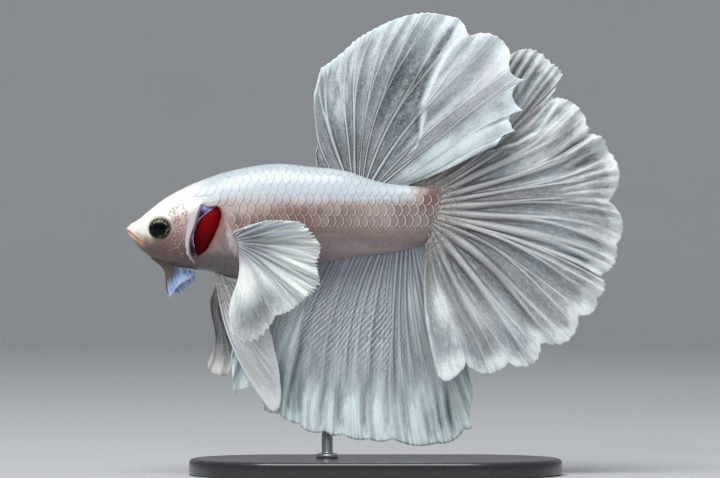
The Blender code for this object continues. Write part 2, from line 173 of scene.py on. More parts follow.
# %% Grid and mesh helpers
def grid_faces(columns, rows, start=0):
    """Quads of a grid whose points run row by row within each column."""
    index = np.arange(columns * rows).reshape(columns, rows) + start
    quads = np.stack([index[:-1, :-1], index[1:, :-1], index[1:, 1:], index[:-1, 1:]], axis=-1)
    return quads.reshape(-1, 4)


def ring_faces(rings, sides):
    """Quads between closed rings of points, and a fan from each end ring to a point of its own."""
    index = np.arange(rings * sides).reshape(rings, sides)
    beside = np.roll(index, -1, axis=1)
    quads = np.stack([index[:-1], index[1:], beside[1:], beside[:-1]], axis=-1).reshape(-1, 4)
    near_end, far_end = np.full((2, sides), index.size) + [[0], [1]]
    fans = np.concatenate([
        np.stack([near_end, index[0], beside[0]], axis=1),
        np.stack([far_end, beside[-1], index[-1]], axis=1),
    ])
    return quads, fans


def sheet_faces(columns, rows):
    """Quads of a closed sheet: a front grid, a back grid later on, and a strip round the rim."""
    shift = columns * rows
    index = np.arange(shift).reshape(columns, rows)
    loop = np.concatenate([index[:, 0], index[-1, 1:], index[-2::-1, -1], index[0, -2:0:-1]])
    after = np.roll(loop, -1)
    rim = np.stack([after, loop, loop + shift, after + shift], axis=1)[:, ::-1]
    return np.concatenate([grid_faces(columns, rows)[:, ::-1], grid_faces(columns, rows, shift), rim])


def inside_out(points, faces):
    """True if a closed mesh's faces point inwards."""
    a, b = points[faces[:, 0]], points[faces[:, 1:]]
    turns = [np.cross(b[:, k], b[:, k + 1]) for k in range(b.shape[1] - 1)]
    return sum(np.einsum("ij,ij->", a, turn) for turn in turns) < 0


def make_piece(name, points, faces, finish, marks=(), maps=(), triangles=None, closed=True, flat=0):
    """A smooth-shaded mesh object from arrays, with named marks per point and named UV maps."""
    if closed and inside_out(points - points.mean(axis=0), faces):
        faces = faces[:, ::-1]
        triangles = None if triangles is None else triangles[:, ::-1]
    corners = [faces.ravel()]
    sizes = [np.full(len(faces), faces.shape[1])]
    if triangles is not None:
        corners.append(triangles.ravel())
        sizes.append(np.full(len(triangles), 3))
    corners = np.concatenate(corners).astype(np.int32)
    sizes = np.concatenate(sizes).astype(np.int32)
    mesh = bpy.data.meshes.new(name)
    mesh.vertices.add(len(points))
    mesh.vertices.foreach_set("co", place(points).astype(np.float32).ravel())
    mesh.loops.add(len(corners))
    mesh.loops.foreach_set("vertex_index", corners)
    mesh.polygons.add(len(sizes))
    mesh.polygons.foreach_set("loop_start", (np.cumsum(sizes) - sizes).astype(np.int32))
    mesh.polygons.foreach_set("use_smooth", np.arange(len(sizes)) < len(sizes) - flat)
    for mark, values in dict(marks).items():
        layer = mesh.attributes.new(mark, "FLOAT_VECTOR", "POINT")
        layer.data.foreach_set("vector", np.asarray(values, np.float32).ravel())
    for title, values in dict(maps).items():
        layer = mesh.uv_layers.new(name=title)
        layer.data.foreach_set("uv", np.asarray(values, np.float32)[corners].ravel())
    mesh.update(calc_edges=True)
    mesh.validate()
    made = bpy.data.objects.new(name, mesh)
    bpy.context.scene.collection.objects.link(made)
    mesh.materials.append(finish)
    print(f"{name}: {int((sizes - 2).sum())} triangles")
    return made


def finish_piece(piece, slot, *nodes):
    """The piece rides on the frame and stands for these CAD nodes, which it hides; slot is not used."""
    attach(piece, "root")
    if nodes:
        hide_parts(*nodes)
    return piece


# %% [markdown]
# ## Mixing a finish
#
# A finish is a network of nodes in Blender: masks decide where each tone goes, and noise breaks it
# up. Wiring nodes by hand takes many lines, so this small class keeps the network and gives each
# common step one short name. Numbers that are the same all over go straight onto the shader.

# %% A small helper for node materials
def tone(red, green, blue):
    """A screen colour (0 to 255) as the linear colour that Blender works in."""
    share = np.array([red, green, blue]) / 255
    linear = np.where(share <= 0.04045, share / 12.92, ((share + 0.055) / 1.055) ** 2.4)
    return (*linear.tolist(), 1.0)


class Finish:
    """A Principled material that is put together step by step."""

    def __init__(self, name, **plain):
        self.material = bpy.data.materials.new(name)
        self.material.use_nodes = True
        self.tree = self.material.node_tree
        self.shader = self.tree.nodes["Principled BSDF"]
        for socket, value in plain.items():
            title = socket.replace("_", " ").title().replace("Ior", "IOR")
            self.shader.inputs[title].default_value = value

    def node(self, kind, feeds=(), **settings):
        """A new node, with values or other nodes' outputs fed into its sockets."""
        made = self.tree.nodes.new("ShaderNode" + kind)
        for setting, value in settings.items():
            setattr(made, setting, value)
        for socket, value in dict(feeds).items():
            self.feed(made.inputs[socket], value)
        return made

    def feed(self, socket, value):
        if isinstance(value, bpy.types.NodeSocket):
            self.tree.links.new(value, socket)
        else:
            socket.default_value = value

    def sum(self, operation, first, second=0.0, third=0.0):
        """One step of arithmetic on numbers or outputs."""
        made = self.node("Math", {0: first, 1: second, 2: third}, operation=operation)
        return made.outputs[0]

    def scaled(self, value, factor, plus=None):
        """The value times a factor, with something added if it is given."""
        if plus is None:
            return self.sum("MULTIPLY", value, factor)
        return self.sum("MULTIPLY_ADD", value, factor, plus)

    def band(self, value, low, high):
        """0 below low and 1 above high; it falls instead of rising where low is the larger."""
        feeds = {"Value": value, "From Min": low, "From Max": high}
        made = self.node("MapRange", feeds, interpolation_type="SMOOTHSTEP")
        return made.outputs["Result"]

    def both(self, *masks):
        """Where all the masks are: their product."""
        result = masks[0]
        for mask in masks[1:]:
            result = self.sum("MULTIPLY", result, mask)
        return result

    def mix(self, share, first, second):
        """A blend of two colours, each a node's output or three screen values."""
        made = self.node("Mix", data_type="RGBA")
        self.feed(made.inputs[0], share)
        for socket, colour in ((6, first), (7, second)):
            self.feed(made.inputs[socket], tone(*colour) if isinstance(colour, tuple) else colour)
        return made.outputs[2]

    def over(self, colour, top, mask, strength):
        """The colour with another laid over it, as strongly as a mask says."""
        return self.mix(self.scaled(mask, strength), colour, top)

    def where(self, stretch=(1.0, 1.0, 1.0)):
        """The place on the model in millimetres, stretched for a drawn-out pattern."""
        spot = self.node("TexCoord").outputs["Object"]
        scale = tuple(1000.0 * s for s in stretch)
        made = self.node("VectorMath", {0: spot, 1: scale}, operation="MULTIPLY")
        return made.outputs[0]

    def axes(self, vector):
        return self.node("SeparateXYZ", {0: vector}).outputs

    def from_snout(self):
        """How far back from the snout a place is and how far up, in millimetres."""
        spot = self.axes(self.where())
        return [self.sum("ADD", spot[k], -float(SNOUT[k])) for k in (0, 2)]

    def mark(self, name):
        """The three numbers of a named mark on the mesh."""
        return self.axes(self.node("Attribute", attribute_name=name).outputs["Vector"])

    def pattern(self, first, second, third=0.0):
        """A vector of three values, for a pattern that follows something other than space."""
        return self.node("CombineXYZ", {0: first, 1: second, 2: third}).outputs[0]

    def noise(self, where, scale, detail=2.0, rough=0.5):
        feeds = {"Vector": where, "Scale": scale, "Detail": detail, "Roughness": rough}
        return self.node("TexNoise", feeds).outputs[0]

    def bump(self, height, distance, strength=1.0):
        feeds = {"Height": height, "Distance": distance, "Strength": strength}
        self.feed(self.shader.inputs["Normal"], self.node("Bump", feeds).outputs[0])

    def paint(self, colour, roughness=None):
        self.feed(self.shader.inputs["Base Color"], colour)
        if roughness is not None:
            self.feed(self.shader.inputs["Roughness"], roughness)
        return self.material


print("a mid grey on the screen is", round(tone(128, 128, 128)[0], 3), "of full light")

# %% [markdown]
# ## The camera
#
# The camera stands level with the fish and square to its side, well back with a long lens, as a
# close-up of a small fish is taken. A camera close by would make the near fins too large.

# %% Camera
DISTANCE = 700.0
VIEW_WIDTH = 104.2
SENSOR = 36.0
AIM_SHIFT = (-2.16, 0.75)
middle = (cad_low + cad_high) / 2

camera_data = bpy.data.cameras.new("camera")
camera_data.sensor_width = SENSOR
camera_data.lens = SENSOR * DISTANCE / VIEW_WIDTH
camera_data.clip_start = 0.01
camera = bpy.data.objects.new("camera", camera_data)
bpy.context.scene.collection.objects.link(camera)
camera.location = (middle.x + AIM_SHIFT[0] * MM, -DISTANCE * MM, middle.z + AIM_SHIFT[1] * MM)
camera.rotation_euler = (math.pi / 2, 0.0, 0.0)
bpy.context.scene.camera = camera
print("lens", round(camera_data.lens), "mm; the view is", VIEW_WIDTH, "mm wide at the fish")

# %% [markdown]
# ## The floor
#
# The floor runs back and curves up behind like a paper sweep, which leaves no line at the horizon.
# A flat plane with a wall would show its corner. Rings of points, turned about the middle, make
# both the flat part and the curve.

# %% Sweep
def sweep_mesh(name, finish, flat=900.0, curve=500.0, wall=800.0, sides=96):
    """A round floor that curves up into a wall all the way round."""
    turn = np.linspace(0, 2 * math.pi, sides, endpoint=False)
    bend = np.linspace(0, math.pi / 2, 34)
    radius = np.concatenate([np.linspace(1, flat, 5), flat + curve * np.sin(bend), [flat + curve]])
    height = np.concatenate([np.zeros(5), curve * (1 - np.cos(bend)), [wall]])
    rings = each_point(np.outer(radius, np.cos(turn)), np.outer(radius, np.sin(turn)), height[:, None])
    points = np.concatenate([rings, np.zeros((1, 3))]) - SNOUT
    quads, fans = ring_faces(len(radius), sides)
    return make_piece(name, points, quads, finish, (), (), fans[:sides], closed=False)


paper = Finish("paper_sweep", roughness=0.9)
fibre = paper.noise(paper.where((0.02, 0.02, 0.02)), 1.0, 3.0)
floor_finish = paper.paint(paper.mix(fibre, (196, 198, 200), (200, 202, 204)))
floor = sweep_mesh("floor", floor_finish)

# %% [markdown]
# ## The light
#
# A large soft lamp overhead models the round body, and a weak one in front keeps the belly from
# going black. The front lamp doesn't show in glossy surfaces, so the scales keep one clean
# highlight. A pale surround fills in the rest.

# %% Lamps and surround
def add_lamp(name, where, size, watts, mirrored=True):
    """A square soft lamp at a place in metres, turned to face the model."""
    lamp = bpy.data.lights.new(name, "AREA")
    lamp.size = size
    lamp.energy = watts
    made = bpy.data.objects.new(name, lamp)
    bpy.context.scene.collection.objects.link(made)
    made.location = where
    made.visible_glossy = mirrored
    x, y, z = middle - made.location
    made.rotation_euler = (math.atan2(math.hypot(x, y), -z), 0.0, math.atan2(-x, y))
    print(f"{name}: {watts} W, {round((middle - made.location).length, 2)} m from the model")


add_lamp("lamp_overhead", (-0.10, -0.30, 0.70), 0.45, 4.6)
add_lamp("lamp_front", (-0.30, -0.80, 0.25), 0.5, 1.9, False)
world = bpy.data.worlds.new("studio")
world.use_nodes = True
surround = world.node_tree.nodes["Background"].inputs
surround["Color"].default_value = tone(205, 208, 212)
surround["Strength"].default_value = 0.55
bpy.context.scene.world = world
bpy.context.scene.view_settings.view_transform = "Standard"

# %% [markdown]
# ## The body as one surface
#
# The CAD body is parted into head, jaw, trunk and stalk, so that each is a solid of its own. On
# the real fish it is one skin with no seams. Any place on it has two numbers: how far back it is,
# and how far it is down the side, measured along the skin from the middle of the back. The scales
# sit in rows at even distances down the side, so that second number is what they need.

# %% Places on the body
STALK_SLANT = 0.147
STALK_LEVEL = 2.1
SKIN_DEPTH = 0.08


def ring(x, turn):
    """Points on the plain body at x; turn 0 is the right side, a quarter turn the back."""
    back, belly, level, width = section(x)
    up, out = np.sin(turn), np.cos(turn)
    z = level + np.where(up > 0, back - level, level - belly) * up
    taper = 1 - 0.80 * ease(42.6, 46.6, x)
    z = STALK_LEVEL + (z - STALK_LEVEL) * (1 - 0.22 * ease(44.3, 46.6, x))
    y = width * taper * np.sign(out) * np.abs(out) ** FLANK_FULLNESS
    sheared = x + STALK_SLANT * (z - STALK_LEVEL) * ease(37.0, 44.5, x)
    return np.stack([sheared, y, z], axis=-1)


GIRTH_X = np.linspace(0.0, 46.8, 235)
GIRTH_TURN = np.linspace(0.0, math.pi, 181)
girth_rings = ring(GIRTH_X[:, None], math.pi / 2 + GIRTH_TURN[None, :])
steps_down = np.linalg.norm(np.diff(girth_rings, axis=1), axis=2)
down_the_side = np.pad(np.cumsum(steps_down, axis=1), ((0, 0), (1, 0)))
HALF_GIRTH = down_the_side[:, -1]
SHARES = np.linspace(0, 1, len(GIRTH_TURN))
turn_at_share = np.array([
    np.interp(SHARES * total, row, GIRTH_TURN) for total, row in zip(HALF_GIRTH, down_the_side)
])


def turn_down(x, down):
    """The turn round the body at a distance down the left side; negative is down the right."""
    share = np.clip(np.abs(down) / np.interp(x, GIRTH_X, HALF_GIRTH), 0, 1) * (len(SHARES) - 1)
    row = np.clip(x / GIRTH_X[-1], 0, 1) * (len(GIRTH_X) - 1)
    i = np.minimum(row.astype(int), len(GIRTH_X) - 2)
    j = np.minimum(share.astype(int), len(SHARES) - 2)
    a, b = row - i, share - j
    near = turn_at_share[i, j] * (1 - b) + turn_at_share[i, j + 1] * b
    far = turn_at_share[i + 1, j] * (1 - b) + turn_at_share[i + 1, j + 1] * b
    return math.pi / 2 + np.sign(down) * (near * (1 - a) + far * a)


def outward(x, turn):
    """Unit vectors straight out of the plain body."""
    step = 0.02
    along = ring(x + step, turn) - ring(x - step, turn)
    around = ring(x, turn + step) - ring(x, turn - step)
    normal = np.cross(around, along)
    return normal / np.maximum(np.linalg.norm(normal, axis=-1, keepdims=True), 1e-9)


ROW_LINE = 2.8
DOWN_TO_LINE = [
    np.interp(-ROW_LINE, -ring_row[:, 2], down_row)
    for ring_row, down_row in zip(girth_rings, down_the_side)
]
print("half girth at mid body:", round(float(np.interp(21.4, GIRTH_X, HALF_GIRTH)), 1), "mm")

# %% [markdown]
# ## Where the head's features lie
#
# The eye and the nostril are points, the mouth is a line, and the gill cover and the opening behind
# it end in slanting edges. Wrinkled skin is a net of uneven cells. With these few kinds of place,
# every feature can be told in a line or two, and moved later by changing a number.

# %% Points, lines and edges on the head
EYE = (4.85, 0.05)
MOUTH = np.array([(-0.05, -0.14), (0.49, -0.47), (1.30, -1.16), (1.99, -1.74), (2.25, -2.0)])
LIP_STRIP = np.array([(1.5, -0.75), (2.6, -1.25), (3.7, -1.75)])
NOSTRIL = (2.8, 1.15)
# Slanting edges, each a row of heights and how far back the edge is at each height.
COVER_EDGE = (
    (-6.2, -4.75, -3.1, -1.3, 0.43, 2.75, 3.6, 4.6),
    (11.2, 9.85, 9.25, 9.35, 9.98, 10.6, 10.85, 11.3),
)
BAND_FRONT = ((-4.7, -3.6, -2.7, -1.6, 0.27, 2.5, 3.5), (9.6, 9.0, 8.8, 8.7, 9.0, 9.85, 10.6))
OPENING_REAR = (
    (-5.0, -3.9, -3.5, -2.2, -0.8, 1.0, 2.65, 3.2, 3.8),
    (10.1, 10.6, 11.2, 12.1, 12.8, 13.5, 13.6, 13.3, 12.2),
)
GILL_FRONT = ((-3.9, -2.9, -1.5, 0.1, 1.5, 2.5, 3.2), (10.4, 9.95, 9.72, 10.07, 10.75, 11.9, 13.0))


def along_height(curve, z):
    """A slanting edge, given as heights and places back, read at z."""
    return smooth(curve[0], curve[1], z)


def line_gap(line, x, z):
    """The distance to a line of straight stretches, and how far along it that is, 0 to 1."""
    best = np.full(np.shape(x), 1e9)
    share = np.zeros(np.shape(x))
    for k, ((x0, z0), (x1, z1)) in enumerate(zip(line[:-1], line[1:])):
        length = (x1 - x0) ** 2 + (z1 - z0) ** 2
        t = np.clip(((x - x0) * (x1 - x0) + (z - z0) * (z1 - z0)) / length, 0, 1)
        gap = np.hypot(x - x0 - t * (x1 - x0), z - z0 - t * (z1 - z0))
        share = np.where(gap < best, (k + t) / (len(line) - 1), share)
        best = np.minimum(best, gap)
    return best, share


def scatter(i, j, salt):
    """An even spread of fixed numbers from 0 to 1, one for each pair of whole numbers."""
    mixed = np.sin(i * 127.1 + j * 311.7 + salt * 74.7) * 43758.5453
    return mixed - np.floor(mixed)


def cells(x, z, size):
    """How far each place is from the border of an irregular cell, as on wrinkled skin."""
    x, z = x / size, z / size
    i, j = np.floor(x), np.floor(z)
    first = np.full(np.shape(x), 9.0)
    second = first.copy()
    for di in (-1, 0, 1):
        for dj in (-1, 0, 1):
            a, b = i + di, j + dj
            seed_x = a + 0.15 + 0.7 * scatter(a, b, 1)
            seed_z = b + 0.15 + 0.7 * scatter(a, b, 2)
            gap = np.hypot(seed_x - x, seed_z - z)
            second = np.minimum(second, np.maximum(first, gap))
            first = np.minimum(first, gap)
    return second - first


print("the mouth is", round(float(np.hypot(*(MOUTH[-1] - MOUTH[0]))), 1), "mm long; the gill opening is",
      round(along_height(OPENING_REAR, 1.0) - along_height(COVER_EDGE, 1.0), 1), "mm wide")

# %% [markdown]
# ## The shape of the head
#
# A head could be sculpted by hand, but a sculpture can't be measured or changed later. Here each
# feature is a small rule for how far the skin rises or sinks: the socket and its folds, the lips
# and the mouth between them, the nostril, the wrinkled cheek, the flared gill cover and the deep
# opening behind it. The rules add up to one number at every point.

# %% Features of the head as rises and hollows
POCKET_DEPTH = 0.95


def head_marks(x, z):
    """Masks for the head's features, each 0 to 1."""
    from_eye = np.hypot(x - EYE[0], z - EYE[1])
    mouth_gap, mouth_share = line_gap(MOUTH, x, z)
    edge = along_height(COVER_EDGE, z)
    rear = along_height(OPENING_REAR, z)
    tall = ease(-4.7, -3.6, z) * ease(3.75, 3.2, z)
    front = along_height(BAND_FRONT, z) + 0.07 * np.sin(6.3 * z) * ease(-1.5, -3.0, z)
    band = ease(front - 0.05, front + 0.08, x) * ease(edge + 0.06, edge - 0.02, x)
    wrinkle_zone = ease(5.6, 6.6, x) * ease(9.3, 8.9, x) * ease(-4.6, -2.8, z) * ease(4.2, 2.9, z)
    wrinkle_zone *= ease(1.8, 2.3, from_eye)
    slanted = x + 0.35 * z + 0.16 * np.sin(4.3 * z)
    border = cells(slanted, 1.3 * z - 0.3 * x + 0.14 * np.sin(5.1 * x), 0.60)
    patchy = np.sin(4.1 * x + 1.7 * z) + np.sin(3.3 * z - 2.9 * x)
    behind_eye = ease(-0.9, 0.9, (x - EYE[0]) - 0.8 * (z - EYE[1]))
    # The folds behind the eye and the cheek's wrinkle lines form the crease mark: the skin sinks a little
    # there, and the finish paints it dark as painted shade.
    eye_folds = 0.34 * (0.5 + 0.5 * np.cos(2 * math.pi * from_eye / 0.36)) ** 2 * behind_eye
    eye_folds *= ease(1.95, 2.1, from_eye) * ease(3.2, 2.5, from_eye)
    cheek_folds = ease(0.30, 0.05, border) * wrinkle_zone * (0.30 + 0.70 * ease(-0.9, 0.5, patchy))
    under_jaw = np.interp(x, *MOUTH.T) - np.clip(x - MOUTH[-1, 0], 0, None) * 0.35 - z
    to_front_of_gill = x - along_height(GILL_FRONT, z)
    return {
        "from_eye": from_eye,
        "crease": np.maximum(cheek_folds, eye_folds),
        # cell is a painted highlight on the middle of each wrinkle cell, low on the cheek.
        "cell": ease(0.22, 0.50, border) * wrinkle_zone * ease(2.6, 0.6, z) * ease(-1.0, 1.0, patchy),
        "wrinkles": wrinkle_zone,
        "mouth": hump(mouth_gap, 0.0, 0.075) * ease(1.0, 0.5, mouth_share),
        "lips": hump(mouth_gap, 0.25, 0.17) * ease(1.0, 0.7, mouth_share),
        "peach": ease(-0.45, 0.10, under_jaw) * ease(0.85, 0.30, under_jaw) * ease(3.1, 1.9, x),
        "strip": hump(line_gap(LIP_STRIP, x, z)[0], 0.0, 0.34),
        "cover": ease(edge - 3.6, edge, x) * ease(-5.6, -3.0, z) * ease(4.4, 2.2, z),
        "band": band * ease(-5.1, -4.6, z) * ease(3.75, 3.4, z),
        "groove": hump(x, front - 0.02, 0.07) * ease(-5.0, -4.4, z) * ease(3.7, 3.0, z),
        "shimmer": np.exp(-(((x - 11.5) / 0.95) ** 2) - ((z - 3.1 + 0.22 * (x - 11.5)) / 0.42) ** 2),
        "pocket": ease(edge + 0.02, edge + 0.16, x) * ease(rear + 0.25, rear - 0.15, x) * tall,
        "behind": ease(edge, edge + 0.05, x),
        "rear_rim": hump(x, rear + 0.15, 0.50) * tall * ease(-4.4, -3.0, z),
        "bead": np.exp(-(((x - 12.9) / 1.3) ** 2) - ((z - 3.95 + 0.3 * (x - 12.9)) / 0.34) ** 2),
        "nostril": np.hypot(x - NOSTRIL[0], z - NOSTRIL[1]),
        "lilac": hump(to_front_of_gill, -0.16, 0.17) * ease(-3.4, -2.6, z) * ease(3.6, 2.9, z),
    }


def rise(x, z, m):
    """How far the skin stands out from the plain body, and how far the gill's pocket sinks in."""
    socket = -0.75 * ease(1.78, 1.35, m["from_eye"]) + 0.13 * hump(m["from_eye"], 1.93, 0.17)
    folds = 0.04 * np.cos(2 * math.pi * m["from_eye"] / 0.3) * ease(1.9, 2.1, m["from_eye"])
    folds *= ease(3.1, 2.3, m["from_eye"])
    mouth = 0.09 * m["lips"] - 0.11 * m["mouth"]
    nose = 0.07 * hump(m["nostril"], 0.24, 0.09) - 0.22 * hump(m["nostril"], 0.0, 0.13)
    cheek = m["wrinkles"] * 0.03 - 0.045 * m["crease"] - 0.05 * m["groove"]
    cheek += m["strip"] * 0.03 * np.cos(2 * math.pi * (z + 0.5 * x) / 0.26)
    cover = 0.8 * m["cover"] ** 1.6 * (1 - m["behind"])
    pocket = -POCKET_DEPTH * m["pocket"] * (1 - 0.6 * m["shimmer"]) + 0.4 * m["lilac"] * m["pocket"]
    shoulder = 0.22 * np.exp(-(((x - 14.9) / 1.0) ** 2 + ((z + 0.9) / 1.3) ** 2))
    beads = 0.10 * m["bead"] * (0.4 + 0.6 * np.sin(7.0 * x) * np.sin(6.0 * z + 2.0 * x))
    root = beads + 0.30 * np.exp(-(((x - 15.8) / 0.8) ** 2 + ((z + 2.6) / 1.9) ** 2))
    return socket + folds + mouth + nose + cheek + cover + shoulder + root, pocket


probe = head_marks(np.array([EYE[0], 12.0]), np.array([EYE[1], 0.0]))
print("distance from the eye's middle at two places:", probe["from_eye"].round(2))
print("gill pocket there:", probe["pocket"].round(2))

# %% [markdown]
# ## The skin
#
# One grid wraps the whole body, with its points crowded at the head where the small features are.
# It lies a scale's thickness inside the CAD surface, so that the scales bring the body back to
# its true size. It stands for all the flesh nodes, so nothing shows where they were parted.

# %% Skin surface
def skin_points(x, turn, opened=True):
    """Points on the real skin, with its features, and the masks that shaped it."""
    plain = ring(x, turn)
    marks = head_marks(plain[..., 0], plain[..., 2])
    side = ease(0.15, 0.5, np.abs(np.cos(turn)))
    lift, pocket = rise(plain[..., 0], plain[..., 2], marks)
    lift = (lift + (pocket if opened else 0.0)) * side - SKIN_DEPTH * ease(0.0, 2.0, x)
    return plain + outward(x, turn) * lift[..., None], marks


SKIN_STATIONS = 340
SKIN_SIDES = 256
HEAD_SHARE = 0.62
HEAD_END = 15.0
SKIN_END = 46.6
share = np.linspace(0, 1, SKIN_STATIONS)
skin_x = np.interp(share, (0, HEAD_SHARE, 1), (0.0, HEAD_END, SKIN_END))
skin_x[0] = 0.004
skin_turn = np.linspace(0, 2 * math.pi, SKIN_SIDES, endpoint=False)
skin_grid, skin_masks = skin_points(skin_x[:, None], skin_turn[None, :])
print("skin grid:", SKIN_STATIONS, "rings of", SKIN_SIDES, "points")

# %% [markdown]
# ## The body's colour
#
# The back is bluish white and the sides are brown. The border between them lies low on the face
# and high behind the head. Skin and scales are so close together that they must agree, so one
# function gives the colour at any place to both. Each tone fades in along the body and down it,
# and a cloudy noise shifts the heights so that no border is a straight line. Under the front of
# the belly and low on the face the tones are painted darker, as painted shade.

# %% Colour of the body at each place
# How far back a tone lies, at what height, and the tone.
FLANK_TONES = (
    ((23.0, 16.0), (0.8, 2.8), (184, 168, 164)),
    ((26.0, 32.0), (-1.8, -3.0), (166, 148, 149)),
    ((27.0, 40.0), (-1.4, 1.4), (164, 151, 147)),
    ((35.5, 40.0), (-1.4, 0.6), (138, 123, 120)),
)


def flank_tones(finish, back, up, height):
    """The dark tones of the sides: the flank in stretches, and the belly and the lower face painted darker as
    painted shade.
    """
    colour = finish.mix(finish.band(height, 4.4, 2.2), (188, 172, 168), (138, 112, 106))
    colour = finish.mix(finish.band(height, 0.4, -3.2), colour, (142, 128, 127))
    for along, level, tone_there in FLANK_TONES:
        zone = finish.both(finish.band(back, *along), finish.band(height, *level))
        colour = finish.mix(zone, colour, tone_there)
    # Painted shade: the belly under the front of the body is painted darker.
    belly = finish.both(finish.band(up, -2.6, -4.4), finish.band(back, 20.0, 14.0))
    colour = finish.mix(belly, colour, (92, 87, 86))
    # The face runs from its own pink down to darker tones under the eye and on the throat: painted shade.
    face = finish.mix(finish.band(up, 1.9, -2.2), (206, 182, 179), (122, 98, 95))
    face = finish.mix(finish.band(up, -1.9, -3.2), face, (92, 74, 69))
    return finish.mix(finish.band(back, 13.0, 9.0), colour, face)


def body_tones(finish):
    """The colour of the body at each place, which the skin and its scales share."""
    back, up = finish.from_snout()
    cloud = finish.noise(finish.where(), 0.55, 3.0)
    height = finish.sum("ADD", up, finish.scaled(cloud, 2.2, -1.1))
    behind_head = finish.band(back, 7.5, 13.5)
    line = finish.scaled(finish.band(back, 3.2, 6.6), 3.1, -1.35)
    line = finish.scaled(behind_head, 2.4, line)
    pale = finish.band(finish.sum("SUBTRACT", height, line), -0.7, 0.9)
    white = finish.mix(behind_head, (253, 251, 245), (197, 208, 215))
    colour = finish.mix(pale, flank_tones(finish, back, up, height), white)
    mottle = finish.both(
        finish.band(finish.noise(finish.where(), 1.3, 3.0), 0.52, 0.68), finish.band(up, 0.0, -3.0),
        finish.band(back, 11.0, 13.0), finish.band(back, 19.0, 16.0),
    )
    colour = finish.over(colour, (84, 54, 54), mottle, 0.4)
    across = finish.sum("DIVIDE", finish.scaled(up, 0.30, finish.sum("ADD", back, -14.85)), 0.75)
    down = finish.sum("DIVIDE", finish.sum("ADD", up, 1.7), 2.3)
    away = finish.sum("ADD", finish.scaled(across, across), finish.scaled(down, down))
    sinew = finish.noise(finish.where((3.4, 1.0, 0.7)), 1.0, 3.0, 0.6)
    fleshy = finish.band(finish.scaled(sinew, 4.2, away), 3.6, 1.5)
    colour = finish.over(colour, (216, 200, 202), fleshy, 0.75)
    ragged = finish.scaled(cloud, 1.2, back)
    tan = finish.both(finish.band(ragged, 41.0, 43.0), finish.band(height, 3.4, 4.6))
    colour = finish.over(colour, (160, 141, 132), tan, 0.8)
    stalk = finish.both(
        finish.band(finish.scaled(cloud, 1.6, back), 42.6, 44.2),
        finish.band(height, 2.6, 4.2), finish.band(height, 7.0, 5.6),
    )
    colour = finish.over(colour, (122, 80, 80), stalk, 0.85)
    return finish.over(colour, (146, 138, 132), finish.band(ragged, 44.8, 46.4), 0.7)


print("stretches of the flank with a tone of their own:", len(FLANK_TONES))

# %% [markdown]
# ## The skin's finish
#
# Over the body's colour lie the tones of single features, from the pores to the blood in the open
# gill. They go on in order, like thin washes, so a list of them is the clearest form. A clear coat
# gives the wet look of live skin.

# %% Skin finish
flesh = Finish("skin", roughness=0.36, coat_weight=0.25, coat_roughness=0.22)
crease, peach, strip = flesh.mark("features")
pocket, cover_band, lit_gill = flesh.mark("opening")
lip, mouth, shoulder = flesh.mark("lips")
rear_rim, bead, cell = flesh.mark("blush_and_highlight")
pores = flesh.noise(flesh.where(), 5.0, 2.0)
colour = body_tones(flesh)
for mask, strength, top in (
    (flesh.band(pores, 0.55, 0.8), 0.12, (120, 100, 96)),
    # Painted highlight on the middles of the cheek's wrinkle cells.
    (cell, 0.34, (226, 198, 196)),
    # Painted shade in the cheek's creases and in the folds behind the eye.
    (crease, 0.85, (110, 58, 58)),
    (strip, 0.55, (196, 168, 118)),
    (peach, 0.85, (206, 142, 114)),
    # Pale pink on the lips at the front of the snout: their own pink with a painted highlight.
    (lip, 0.85, (242, 196, 192)),
    (mouth, 0.22, (128, 82, 74)),
    (shoulder, 0.7, (206, 194, 194)),
    (cover_band, 1.0, flesh.mix(pores, (186, 178, 184), (214, 210, 212))),
    (pocket, 1.0, flesh.mix(rear_rim, (60, 16, 44), (96, 20, 24))),
    (rear_rim, 0.55, (132, 62, 60)),
    (bead, 0.7, (238, 236, 240)),
):
    colour = flesh.over(colour, top, mask, strength)
# Painted iridescent sheen on the gill opening's edge, lilac, blue and pink, with white points as painted
# glints.
glimmer = flesh.mix(flesh.band(pores, 0.42, 0.6), (140, 160, 240), (236, 140, 196))
glimmer = flesh.mix(flesh.band(pores, 0.5, 0.56), glimmer, (244, 238, 252))
colour = flesh.mix(lit_gill, colour, glimmer)
flesh.bump(flesh.noise(flesh.where(), 7.0, 3.0), 0.00004, 0.5)
skin_finish = flesh.paint(colour)
print("the skin's finish has", len(flesh.tree.nodes), "nodes")

# %% [markdown]
# ## The skin's mesh
#
# The masks that shaped the head travel with the mesh as marks on its points. The finish reads
# them, so each colour sits exactly on the form it belongs to. A painted map could drift from it.

# %% Skin mesh
m = skin_masks
x = skin_grid[..., 0]
z = skin_grid[..., 2]
side = ease(0.15, 0.5, np.abs(np.cos(skin_turn)))[None, :]
shoulder_mask = np.exp(-(((x - 14.9) / 1.1) ** 2) - ((z + 1.3) / 2.0) ** 2)
